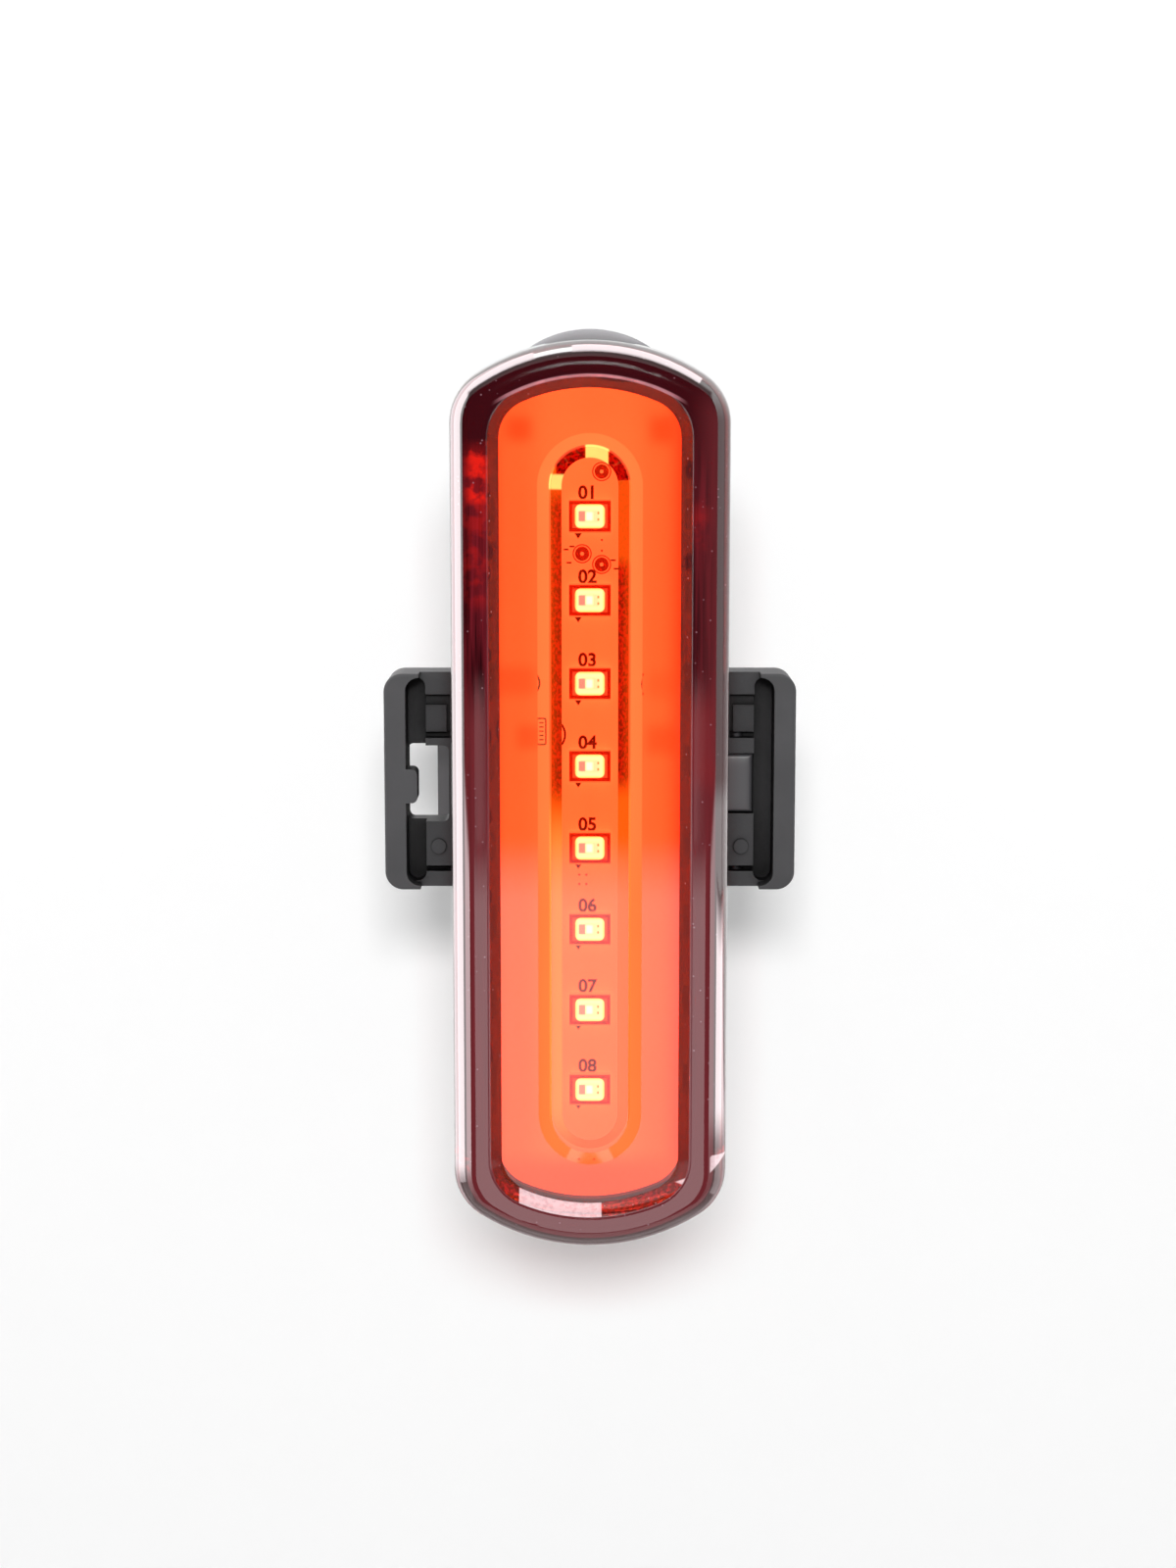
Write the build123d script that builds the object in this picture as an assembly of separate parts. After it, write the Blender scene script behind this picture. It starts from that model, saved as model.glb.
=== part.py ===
"""Rechargeable bicycle tail light on its seat-post bracket, in millimetres.

+Z is up along the seat post, the lens looks along -Y and +X is to the right for someone who
looks at the lens. The origin is on the seat post's axis, halfway up the bracket.
"""

import os
from math import acos, atan2, cos, radians, sin, sqrt

from build123d import *

# Seat post, rubber saddle pad and the bracket's saddle
POST_RADIUS = 13.6
POST_CLEARANCE = 0.05
PAD_THICKNESS = 1.2
PAD_HALF_ANGLE = 57.0
PAD_END_GAP = 0.6
PAD_GROOVE_DEPTH = 0.35
PAD_GROOVE_HEIGHT = 0.9
PAD_GROOVE_PITCH = 4.5
PAD_GROOVE_COUNT = 3
SADDLE_WALL = 1.65
SADDLE_HEIGHT = 16.0
SADDLE_LIP_ANGLE = 2.0
RIB_THICKNESS = 1.6
RIB_END_GAP = 0.4

# Bracket plate and its two ears
BRACKET_WIDTH = 36.2
BRACKET_HEIGHT = 19.2
BRACKET_CORNER = 1.6
FLANGE_THICKNESS = 1.9
FLANGE_RISE = 1.9
FLANGE_RIM = 0.35
FLANGE_CORNER = 1.2
FLANGE_EDGE_ROUND = 0.25
GROOVE_WIDTH = 1.65
GROOVE_DEPTH = 1.6
GROOVE_RIM = 0.5
GROOVE_CORNER = 0.8
PLATE_REAR_THICKNESS = 3.7

# Openings for the strap, left to hook it and right to anchor it
SLOT_DROP = 0.35
SLOT_CORNER = 0.5
HOOK_SLOT_WIDTH = 3.7
HOOK_SLOT_HEIGHT = 6.8
HOOK_TAB_HEIGHT = 3.0
HOOK_TAB_REACH = 1.0
HOOK_TAB_THICKNESS = 2.6
ANCHOR_SLOT_WIDTH = 2.95
ANCHOR_GAP = 0.1

# Shallow pockets moulded in the ears
EAR_TOP_STRIP = 2.0
EAR_BOTTOM_STRIP = 1.35
EAR_POCKET_MARGIN = 0.15
EAR_POCKET_HEIGHT = 3.4
EAR_POCKET_DEPTH = 1.0
EAR_PAD_RISE = 0.4
EAR_PAD_INSET = 0.35
EAR_PAD_DROP = 1.0
EAR_GAP_HEIGHT = 0.5
EAR_GAP_DEPTH = 1.4
EJECTOR_RADIUS = 0.65
EJECTOR_INSET = 0.95
EJECTOR_Z = -6.0
EJECTOR_RISE = 0.15

# Strap, its anchor and the pin through the anchor
STRAP_THICKNESS = 1.6
STRAP_WIDTH = 5.2
STRAP_ROOT_INSET = 0.55
STRAP_ROOT_Y = -15.0
STRAP_ROOT_GAP = 0.15
STRAP_SADDLE_GAP = 0.4
STRAP_CURL_RADIUS = 18.0
STRAP_CURL_ANGLE = 141.0
STRAP_HOLE_LENGTH = 3.4
STRAP_HOLE_HEIGHT = 3.1
STRAP_HOLE_COUNT = 4
STRAP_HOLE_PITCH = 6.2
STRAP_TIP_REACH = 9.0
STRAP_TIP_CORNER = 2.0
ANCHOR_RECESS = 0.2
STRAP_PIN_RADIUS = 0.7
STRAP_PIN_INSET = 1.45
STRAP_PIN_Y = -18.3
STRAP_PIN_BITE = 1.8
STRAP_PIN_SINK = 0.3

# Rail that slides in the bracket's channel
RAIL_NECK_WIDTH = 8.0
RAIL_HEAD_WIDTH = 12.0
RAIL_HEAD_THICKNESS = 1.7
RAIL_TOP_Z = 8.7
RAIL_SIDE_GAP = 0.2
RAIL_FRONT_GAP = 0.1
RAIL_REAR_GAP = 0.2
CHANNEL_SIDE_WALL = 1.6
LIP_THICKNESS = 1.7
STOP_THICKNESS = 1.9
STOP_GAP = 0.02
BODY_GAP = 0.3
RAIL_SCREW_SPACING = 9.0
RAIL_SCREW_RADIUS = 0.9
RAIL_SCREW_BITE = 1.8
RAIL_SCREW_HEAD_RADIUS = 1.8
RAIL_SCREW_HEAD_HEIGHT = 0.9
DRIVE_RADIUS = 0.8
DRIVE_SLOT = 0.4
DRIVE_DEPTH = 0.4

# Outside of the light
BODY_LENGTH = 76.8
BODY_WIDTH = 23.4
END_RADIUS = 17.4
CORNER_RADIUS = 4.9
BODY_DEPTH = 15.5
LENS_DEPTH = 7.5
LENS_DRAFT = 0.25
LENS_DRAFT_DEPTH = 4.5
LENS_SHOULDER = 2.0
LENS_WALL = 1.6
LENS_FRONT_WALL = 1.9
WINDOW_DROP = 1.6
WINDOW_THICKNESS = 1.8
WINDOW_SIDE_BORDER = 4.2
WINDOW_END_BORDER = 4.0
WINDOW_END_TIGHTENING = 3.5
WINDOW_CORNER_TIGHTENING = 1.7
STEP_WIDTH = 0.95
STEP_EDGE_ROUND = 0.3
RIM_LAND = 0.3

# Long bar over the row of lamps: raised a little on the window's front, hollow behind
BAR_WIDTH = 8.7
BAR_END_BORDER = 3.5
BAR_SHIFT = -0.2
BAR_SKIRT_WIDTH = 1.1
BAR_RISE = 0.25
BAR_SLOPE_WIDTH = 0.9
BAR_HOLLOW_DEPTH = 0.9

# Lamps, boards and the inner frame round the lamp board
LAMP_COUNT = 8
LAMP_PITCH = 7.0
LAMP_ROW_SHIFT = -0.7
LAMP_LENGTH = 3.5
LAMP_WIDTH = 2.8
LAMP_HEIGHT = 0.7
LAMP_LENS_LENGTH = 2.5
LAMP_LENS_WIDTH = 2.0
LAMP_LENS_DEPTH = 0.3
LAMP_LENS_CORNER = 0.5
LED_BOARD_THICKNESS = 1.0
LED_BOARD_INSET = 2.0
BEZEL_GAP = 0.1
BEZEL_THICKNESS = 1.7
BEZEL_INSET = 1.7
BEZEL_OPENING_OUTSET = 0.35
BEZEL_RIB_RISE = 1.3
BEZEL_RIB_GAP = 0.15
RESISTOR_LENGTH = 1.6
RESISTOR_WIDTH = 0.8
RESISTOR_HEIGHT = 0.45
RESISTOR_X = 4.2

# Rear housing and its seal
HOUSING_INSET = 0.5
HOUSING_REAR_WALL = 2.2
HOUSING_REAR_ROUND = 2.0
HOUSING_SIDE_WALL = 2.1
HOUSING_TOP_WALL = 2.3
HOUSING_BOTTOM_WALL = 3.3
CAVITY_CORNER = 3.2
CAVITY_FRONT_STOP = 0.6
SPIGOT_INSET = 1.7
SPIGOT_WALL = 1.0
SEAL_INSET = 0.95
SEAL_WIDTH = 0.5
SEAL_DEPTH = 0.5
FIT_GAP = 0.05
SHELF_WIDTH = 1.2
SHELF_THICKNESS = 1.0
SHELF_DEPTH = 2.4

# Push button and the switch under it
BUTTON_LENGTH = 10.7
BUTTON_WIDTH = 4.0
BUTTON_Y = -25.2
BUTTON_PROUD = 0.9
BUTTON_DOME_RADIUS = 9.3
BUTTON_EDGE_ROUND = 0.5
BUTTON_HOLE_GAP = 0.15
BUTTON_FLANGE_LENGTH = 12.0
BUTTON_FLANGE_WIDTH = 4.8
BUTTON_FLANGE_THICKNESS = 0.8
BUTTON_STEM_RADIUS = 1.3
BUTTON_STEM_DROP = 0.5
BUTTON_TRAVEL = 0.4
SWITCH_BOARD_DEPTH = 4.4
SWITCH_BOARD_THICKNESS = 0.8
SWITCH_LENGTH = 4.5
SWITCH_WIDTH = 3.6
SWITCH_HEIGHT = 1.6
SWITCH_WELL_GAP = 0.1
PLUNGER_RADIUS = 1.0
PLUNGER_RISE = 0.6
PLUNGER_SINK = 0.7
PLUNGER_RUNNING_GAP = 0.06

# Charging socket and its rubber cover
PORT_Y = -25.4
PORT_LENGTH = 8.94
PORT_WIDTH = 3.16
PORT_DEPTH = 7.3
PORT_SHELL = 0.3
PORT_MOUTH_SINK = 0.4
PORT_REAR_WALL = 1.0
PORT_OPENING_GAP = 0.2
TONGUE_LENGTH = 6.6
TONGUE_THICKNESS = 0.7
TONGUE_RECESS = 0.6
COVER_THICKNESS = 1.4
COVER_LENGTH = 12.0
COVER_WIDTH = 4.5
COVER_GAP = 0.2
COVER_PLUG_LENGTH = 8.0
COVER_PLUG_WIDTH = 2.2
COVER_PLUG_HEIGHT = 0.9
COVER_HINGE_RADIUS = 0.45
COVER_HINGE_SINK = 0.25
COVER_HINGE_LENGTH = 5.0
TETHER_GAP = 0.08
TETHER_DEPTH = 0.85
TETHER_RISE = 0.4

# Battery, control board and wiring
BATTERY_THICKNESS = 5.0
BATTERY_SIDE_GAP = 0.15
BATTERY_TOP_GAP = 2.2
BATTERY_BOTTOM_GAP = 3.0
BATTERY_ROUND = 0.9
FOAM_THICKNESS = 1.0
FOAM_INSET = 1.5
CONTROL_BOARD_SIDE_GAP = 0.3
CONTROL_BOARD_THICKNESS = 0.8
CONTROL_BOARD_LENGTH = 25.3
CONTROL_BOARD_END_GAP = 0.3
LEDGE_WIDTH = 1.2
LEDGE_LENGTH = 15.0
LEDGE_BELOW_TOP = 3.0
CHARGER_CHIP_SIDE = 3.0
CHARGER_CHIP_EDGE_GAP = 0.4
CHARGER_CHIP_BELOW_TOP = 9.0
DRIVER_CHIP_SIDE = 4.0
DRIVER_CHIP_BELOW_TOP = 9.5
COIL_SIDE = 2.5
COIL_HEIGHT = 1.25
COIL_EDGE_GAP = 1.65
COIL_BELOW_TOP = 8.5
CHIP_HEIGHT = 0.9
HEADER_LENGTH = 5.0
HEADER_WIDTH = 2.0
HEADER_BELOW_TOP = 5.8
HEADER_PIN_RADIUS = 0.3
HEADER_PIN_PITCH = 2.54
HEADER_PIN_BITE = 0.5
LEAD_RADIUS = 0.4
LEAD_BEND = 0.85
BATTERY_LEAD_X = 3.0
BATTERY_LEAD_Y = -25.6
BATTERY_LEAD_BELOW_TOP = 3.0
SWITCH_LEAD_SIDE_GAP = 0.15
SWITCH_LEAD_Y = -25.7
SWITCH_LEAD_BELOW_TOP = 1.6

# Places worked out from the values above; y grows from the lens towards the post
PAD_INNER_RADIUS = POST_RADIUS + POST_CLEARANCE
PAD_OUTER_RADIUS = PAD_INNER_RADIUS + PAD_THICKNESS
SADDLE_RADIUS = PAD_OUTER_RADIUS + SADDLE_WALL
CHANNEL_FLOOR_Y = -SADDLE_RADIUS
RAIL_BACK_Y = CHANNEL_FLOOR_Y - RAIL_REAR_GAP
RAIL_HEAD_FRONT_Y = RAIL_BACK_Y - RAIL_HEAD_THICKNESS
CHANNEL_ROOF_Y = RAIL_HEAD_FRONT_Y - RAIL_FRONT_GAP
PLATE_FRONT_Y = CHANNEL_ROOF_Y - LIP_THICKNESS
PLATE_BACK_Y = PLATE_FRONT_Y + PLATE_REAR_THICKNESS
FLANGE_FRONT_Y = PLATE_FRONT_Y - FLANGE_RISE
HOUSING_BACK_Y = PLATE_FRONT_Y - BODY_GAP
LENS_FRONT_Y = HOUSING_BACK_Y - BODY_DEPTH
SEAM_Y = LENS_FRONT_Y + LENS_DEPTH
WINDOW_Y = LENS_FRONT_Y + WINDOW_DROP
WINDOW_BACK_Y = WINDOW_Y + WINDOW_THICKNESS
BEZEL_FRONT_Y = WINDOW_BACK_Y + BEZEL_GAP
LED_BOARD_Y = BEZEL_FRONT_Y + BEZEL_THICKNESS
LED_BOARD_BACK_Y = LED_BOARD_Y + LED_BOARD_THICKNESS
SPIGOT_END_Y = LED_BOARD_BACK_Y + FIT_GAP
CAVITY_BACK_Y = HOUSING_BACK_Y - HOUSING_REAR_WALL
CAVITY_FRONT_Y = SEAM_Y + CAVITY_FRONT_STOP
FOAM_BACK_Y = CAVITY_BACK_Y - FIT_GAP
BATTERY_BACK_Y = FOAM_BACK_Y - FOAM_THICKNESS - FIT_GAP
BATTERY_FRONT_Y = BATTERY_BACK_Y - BATTERY_THICKNESS
CONTROL_BOARD_Y = PORT_Y - PORT_WIDTH / 2
CONTROL_BOARD_FRONT_Y = CONTROL_BOARD_Y - CONTROL_BOARD_THICKNESS
BRACKET_TOP = BRACKET_HEIGHT / 2
SADDLE_TOP = SADDLE_HEIGHT / 2
BRACKET_SIDE = BRACKET_WIDTH / 2
FLANGE_INNER_X = BRACKET_SIDE - FLANGE_THICKNESS
GROOVE_INNER_X = FLANGE_INNER_X - GROOVE_WIDTH
SLOT_INNER_X = FLANGE_INNER_X - HOOK_SLOT_WIDTH
ANCHOR_SLOT_INNER_X = GROOVE_INNER_X - ANCHOR_SLOT_WIDTH
EAR_POCKET_INNER_X = SLOT_INNER_X - EAR_POCKET_MARGIN
EJECTOR_X = SLOT_INNER_X + EJECTOR_INSET
RIB_HALF_WIDTH = ANCHOR_SLOT_INNER_X - RIB_END_GAP
STRAP_ROOT_X = GROOVE_INNER_X - STRAP_ROOT_INSET
STRAP_PIN_X = GROOVE_INNER_X - STRAP_PIN_INSET
CHANNEL_HALF_WIDTH = RAIL_HEAD_WIDTH / 2 + RAIL_SIDE_GAP
RAIL_BOTTOM_Z = -BRACKET_TOP + STOP_THICKNESS + STOP_GAP
ANCHOR_HEIGHT = STRAP_WIDTH + 2 * ANCHOR_GAP
WINDOW_WIDTH = BODY_WIDTH - 2 * WINDOW_SIDE_BORDER
WINDOW_LENGTH = BODY_LENGTH - 2 * WINDOW_END_BORDER
WINDOW_END_RADIUS = END_RADIUS - WINDOW_END_TIGHTENING
WINDOW_CORNER_RADIUS = CORNER_RADIUS - WINDOW_CORNER_TIGHTENING
BAR_LENGTH = WINDOW_LENGTH - 2 * BAR_END_BORDER
HOUSING_TOP = BODY_LENGTH / 2 - HOUSING_INSET
CAVITY_HALF_WIDTH = BODY_WIDTH / 2 - HOUSING_INSET - HOUSING_SIDE_WALL
CAVITY_TOP = HOUSING_TOP - HOUSING_TOP_WALL
CAVITY_BOTTOM = -HOUSING_TOP + HOUSING_BOTTOM_WALL
BUTTON_TOP = BODY_LENGTH / 2 + BUTTON_PROUD
BUTTON_FLANGE_TOP = CAVITY_TOP - FIT_GAP
BUTTON_FLANGE_BOTTOM = BUTTON_FLANGE_TOP - BUTTON_FLANGE_THICKNESS
STEM_BOTTOM = BUTTON_FLANGE_BOTTOM - BUTTON_STEM_DROP
PLUNGER_TOP = STEM_BOTTOM - FIT_GAP
SWITCH_TOP = PLUNGER_TOP - PLUNGER_RISE
SWITCH_BOARD_TOP = SWITCH_TOP - SWITCH_HEIGHT
SWITCH_BOARD_BOTTOM = SWITCH_BOARD_TOP - SWITCH_BOARD_THICKNESS
CONTROL_BOARD_HALF_WIDTH = CAVITY_HALF_WIDTH - CONTROL_BOARD_SIDE_GAP
CONTROL_BOARD_BOTTOM = CAVITY_BOTTOM + CONTROL_BOARD_END_GAP
CONTROL_BOARD_TOP = CONTROL_BOARD_BOTTOM + CONTROL_BOARD_LENGTH
LEDGE_TOP = CONTROL_BOARD_TOP - LEDGE_BELOW_TOP
LEDGE_BOTTOM = LEDGE_TOP - LEDGE_LENGTH
HEADER_Z = CONTROL_BOARD_TOP - HEADER_BELOW_TOP
LEDGE_INNER_X = CAVITY_HALF_WIDTH - LEDGE_WIDTH
CHARGER_CHIP_X = -LEDGE_INNER_X + CHARGER_CHIP_EDGE_GAP + CHARGER_CHIP_SIDE / 2
COIL_X = LEDGE_INNER_X - COIL_EDGE_GAP - COIL_SIDE / 2
SWITCH_LEAD_X = CAVITY_HALF_WIDTH - SWITCH_LEAD_SIDE_GAP - LEAD_RADIUS
BATTERY_TOP = SWITCH_BOARD_BOTTOM - BATTERY_TOP_GAP
BATTERY_BOTTOM = CONTROL_BOARD_TOP + BATTERY_BOTTOM_GAP
BATTERY_HALF_WIDTH = SWITCH_LEAD_X - LEAD_RADIUS - BATTERY_SIDE_GAP
PORT_MOUTH_Z = CAVITY_BOTTOM - PORT_MOUTH_SINK
COVER_PLANE_Z = -HOUSING_TOP + COVER_THICKNESS
COVER_HINGE_Z = -HOUSING_TOP + COVER_HINGE_RADIUS + COVER_HINGE_SINK
COVER_SWING_RADIUS = COVER_HINGE_RADIUS + COVER_HINGE_SINK + TETHER_GAP
TETHER_TOP_Z = COVER_PLANE_Z + TETHER_RISE
SWITCH_WELL_DEPTH = PLUNGER_SINK + BUTTON_TRAVEL + SWITCH_WELL_GAP
COVER_HINGE_Y = PORT_Y + COVER_WIDTH / 2 - COVER_HINGE_RADIUS
LAMP_PLACES = [LAMP_ROW_SHIFT + LAMP_PITCH * (i - (LAMP_COUNT - 1) / 2) for i in range(LAMP_COUNT)]
QUARTER_TURN = 90.0
TINY = 0.01  # half thickness of the slice in which an edge is looked for, and a cut's least overrun
OVERRUN = 1.0  # how far a short cut runs beyond the wall it goes through
PAST = 60.0  # a coordinate well outside the whole light


def bulged_outline(half_width, half_length, end_radius, corner_radius):
    """A long outline with two straight sides, bulged ends and rounded corners, flat on XY."""
    end_centre = half_length - end_radius
    corner_x = half_width - corner_radius
    reach = end_radius - corner_radius
    corner_z = end_centre + sqrt(reach**2 - corner_x**2)
    turn = atan2(corner_z - end_centre, corner_x)
    join = (end_radius * cos(turn), end_centre + end_radius * sin(turn))
    middle = (corner_x + corner_radius * cos(turn / 2), corner_z + corner_radius * sin(turn / 2))
    side = (half_width, corner_z)

    def at(point, sx, sz):
        return (point[0] * sx, point[1] * sz)

    edges = []
    for sz in (1, -1):
        edges.append(ThreePointArc(at(join, -1, sz), (0, sz * half_length), at(join, 1, sz)))
        for sx in (1, -1):
            edges.append(ThreePointArc(at(join, sx, sz), at(middle, sx, sz), at(side, sx, sz)))
    for sx in (1, -1):
        edges.append(Line(at(side, sx, 1), at(side, sx, -1)))
    return make_face(Wire.combine(edges)[0])


def body_outline(inset):
    half_width = BODY_WIDTH / 2 - inset
    half_length = BODY_LENGTH / 2 - inset
    return bulged_outline(half_width, half_length, END_RADIUS - inset, CORNER_RADIUS - inset)


def window_outline(outset):
    return bulged_outline(
        WINDOW_WIDTH / 2 + outset,
        WINDOW_LENGTH / 2 + outset,
        WINDOW_END_RADIUS + outset,
        WINDOW_CORNER_RADIUS + outset,
    )


def bar_outline(inset):
    slot = SlotOverall(BAR_LENGTH - 2 * inset, BAR_WIDTH - 2 * inset, rotation=90)
    return Pos(0, BAR_SHIFT) * slot


def upright(shape, y):
    """A flat XY sketch stood up in the XZ plane at this y."""
    return Plane.XZ.offset(-y) * shape


def slab(shape, y_back, y_front):
    """The sketch made solid between two y planes."""
    return extrude(upright(shape, y_back), amount=y_back - y_front)


def slope(shape_back, y_back, shape_front, y_front):
    """A solid that runs from one outline to another."""
    return loft([upright(shape_back, y_back), upright(shape_front, y_front)], ruled=True)


def block(x_span, y_span, z_span):
    """A box from three pairs of limits."""
    spans = (sorted(x_span), sorted(y_span), sorted(z_span))
    size = [high - low for low, high in spans]
    middle = [(high + low) / 2 for low, high in spans]
    return Pos(*middle) * Box(*size)


def mirrored(x_span, side):
    return (side * x_span[0], side * x_span[1])


def rod(radius, x, y, z_span):
    """A round bar along Z."""
    low, high = sorted(z_span)
    return Pos(x, y, (low + high) / 2) * Cylinder(radius, high - low)


def rod_y(radius, x, z, y_span):
    """A round bar along Y."""
    low, high = sorted(y_span)
    return Pos(x, (low + high) / 2, z) * Rot(QUARTER_TURN, 0, 0) * Cylinder(radius, high - low)


def oval(length, width, y, z_span):
    """A bar along Z with a stadium section, long along X."""
    low, high = sorted(z_span)
    return extrude(Plane.XY.offset(low) * (Pos(0, y) * SlotOverall(length, width)), amount=high - low)


def sector(inner, outer, half_angle, z_span):
    """A piece of a tube round the post, centred on the -Y side."""
    low, high = sorted(z_span)
    tube = rod(outer, 0, 0, z_span) - rod(inner, 0, 0, z_span)
    side = PAST * sin(radians(half_angle))
    depth = -PAST * cos(radians(half_angle))
    wedge = make_face(Polyline((0, 0), (side, depth), (side, -PAST), (-side, -PAST), (-side, depth),
                               close=True))
    return tube & extrude(Plane.XY.offset(low) * wedge, amount=high - low)


def edges_at_y(solid, y):
    return solid.edges().filter_by_position(Axis.Y, y - TINY, y + TINY)


def lead(points):
    """An insulated wire along straight runs with one bend."""
    path = FilletPolyline(*points, radius=LEAD_BEND)
    print("lead", round(path.length, 2), "bend radius", LEAD_BEND)
    section = Plane(origin=path @ 0, z_dir=path % 0) * Circle(LEAD_RADIUS)
    return sweep(section, path=path)


def make_lens_cover():
    y_wide = LENS_FRONT_Y + LENS_DRAFT_DEPTH
    shell = slope(body_outline(0), y_wide, body_outline(LENS_DRAFT), LENS_FRONT_Y)
    shell += slab(body_outline(0), SEAM_Y, y_wide)
    shell = fillet(edges_at_y(shell, LENS_FRONT_Y), LENS_SHOULDER)
    rim = STEP_WIDTH + STEP_EDGE_ROUND
    shell -= slope(window_outline(0), WINDOW_Y, window_outline(STEP_WIDTH), LENS_FRONT_Y)
    inner = [e for e in edges_at_y(shell, LENS_FRONT_Y)
             if e.bounding_box().max.X - e.bounding_box().min.X < WINDOW_WIDTH + 2 * rim
             and abs(e.center().X) < WINDOW_WIDTH / 2 + rim
             and abs(e.center().Z) < WINDOW_LENGTH / 2 + rim]
    shell = fillet(inner, STEP_EDGE_ROUND)
    shell -= slab(body_outline(LENS_WALL), SEAM_Y, WINDOW_BACK_Y)
    groove = slab(body_outline(LENS_WALL), WINDOW_BACK_Y, LENS_FRONT_Y + LENS_FRONT_WALL)
    groove -= slab(window_outline(STEP_WIDTH + RIM_LAND), WINDOW_BACK_Y, LENS_FRONT_Y)
    shell -= groove
    shell += slope(bar_outline(0), WINDOW_Y, bar_outline(BAR_SKIRT_WIDTH), WINDOW_Y - BAR_RISE)
    mouth = bar_outline(BAR_SKIRT_WIDTH)
    floor = bar_outline(BAR_SKIRT_WIDTH + BAR_SLOPE_WIDTH)
    return shell - slope(mouth, WINDOW_BACK_Y, floor, WINDOW_BACK_Y - BAR_HOLLOW_DEPTH)


def make_inner_bezel():
    frame = slab(body_outline(BEZEL_INSET), LED_BOARD_Y, BEZEL_FRONT_Y)
    frame -= slab(window_outline(BEZEL_OPENING_OUTSET), LED_BOARD_Y, BEZEL_FRONT_Y)
    rib = slab(body_outline(BEZEL_INSET), BEZEL_FRONT_Y, BEZEL_FRONT_Y - BEZEL_RIB_RISE)
    rib -= slab(
        window_outline(STEP_WIDTH + RIM_LAND + BEZEL_RIB_GAP),
        BEZEL_FRONT_Y,
        BEZEL_FRONT_Y - BEZEL_RIB_RISE,
    )
    return frame + rib


def lamp_box(length, width, corner, y_span, z):
    low, high = sorted(y_span)
    return slab(Pos(0, z) * RectangleRounded(length, width, corner), high, low)


def make_led_packages():
    front = LED_BOARD_Y - LAMP_HEIGHT
    packages = []
    for z in LAMP_PLACES:
        package = block((-LAMP_LENGTH / 2, LAMP_LENGTH / 2), (front, LED_BOARD_Y),
                        (z - LAMP_WIDTH / 2, z + LAMP_WIDTH / 2))
        well = (front, front + LAMP_LENS_DEPTH)
        packages.append(package - lamp_box(LAMP_LENS_LENGTH, LAMP_LENS_WIDTH, LAMP_LENS_CORNER, well, z))
    return packages


def make_led_lenses():
    front = LED_BOARD_Y - LAMP_HEIGHT
    well = (front, front + LAMP_LENS_DEPTH)
    return [lamp_box(LAMP_LENS_LENGTH, LAMP_LENS_WIDTH, LAMP_LENS_CORNER, well, z) for z in LAMP_PLACES]


def make_led_resistors():
    y_span = (LED_BOARD_BACK_Y, LED_BOARD_BACK_Y + RESISTOR_HEIGHT)
    x_span = (RESISTOR_X - RESISTOR_LENGTH / 2, RESISTOR_X + RESISTOR_LENGTH / 2)
    half = RESISTOR_WIDTH / 2
    return [block(x_span, y_span, (z - half, z + half)) for z in LAMP_PLACES]


def header_pins():
    y_span = (LED_BOARD_BACK_Y - HEADER_PIN_BITE, CONTROL_BOARD_Y)
    return [rod_y(HEADER_PIN_RADIUS, side * HEADER_PIN_PITCH / 2, HEADER_Z, y_span) for side in (-1, 1)]


def without(solid, tools):
    for tool in tools:
        solid -= tool
    return solid


def make_led_board():
    board = slab(body_outline(LED_BOARD_INSET), LED_BOARD_BACK_Y, LED_BOARD_Y)
    return without(board, header_pins())


def make_control_board():
    height = CONTROL_BOARD_TOP - CONTROL_BOARD_BOTTOM
    middle = (CONTROL_BOARD_TOP + CONTROL_BOARD_BOTTOM) / 2
    outline = Pos(0, middle) * Rectangle(2 * CONTROL_BOARD_HALF_WIDTH, height)
    board = slab(outline, CONTROL_BOARD_Y, CONTROL_BOARD_FRONT_Y)
    foot = board.edges().filter_by(Axis.Y).group_by(Axis.Z)[0]
    return without(fillet(foot, CAVITY_CORNER), header_pins())


def chip(side, x, below_top, height):
    z = CONTROL_BOARD_TOP - below_top
    y_span = (CONTROL_BOARD_Y, CONTROL_BOARD_Y + height)
    return block((x - side / 2, x + side / 2), y_span, (z - side / 2, z + side / 2))


def make_control_chips():
    return [
        chip(CHARGER_CHIP_SIDE, CHARGER_CHIP_X, CHARGER_CHIP_BELOW_TOP, CHIP_HEIGHT),
        chip(DRIVER_CHIP_SIDE, 0, DRIVER_CHIP_BELOW_TOP, CHIP_HEIGHT),
        chip(COIL_SIDE, COIL_X, COIL_BELOW_TOP, COIL_HEIGHT),
    ]


def make_header_block():
    x_span = (-HEADER_LENGTH / 2, HEADER_LENGTH / 2)
    z_span = (HEADER_Z - HEADER_WIDTH / 2, HEADER_Z + HEADER_WIDTH / 2)
    return without(block(x_span, (LED_BOARD_BACK_Y, CONTROL_BOARD_FRONT_Y), z_span), header_pins())


def rail_screw_places():
    middle = (RAIL_TOP_Z + RAIL_BOTTOM_Z) / 2
    return [middle + side * RAIL_SCREW_SPACING / 2 for side in (-1, 1)]


def screw_shanks():
    y_span = (HOUSING_BACK_Y - RAIL_SCREW_BITE, RAIL_BACK_Y - RAIL_SCREW_HEAD_HEIGHT)
    return [rod_y(RAIL_SCREW_RADIUS, 0, z, y_span) for z in rail_screw_places()]


def screw_heads():
    y_span = (RAIL_BACK_Y - RAIL_SCREW_HEAD_HEIGHT, RAIL_BACK_Y)
    return [rod_y(RAIL_SCREW_HEAD_RADIUS, 0, z, y_span) for z in rail_screw_places()]


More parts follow.
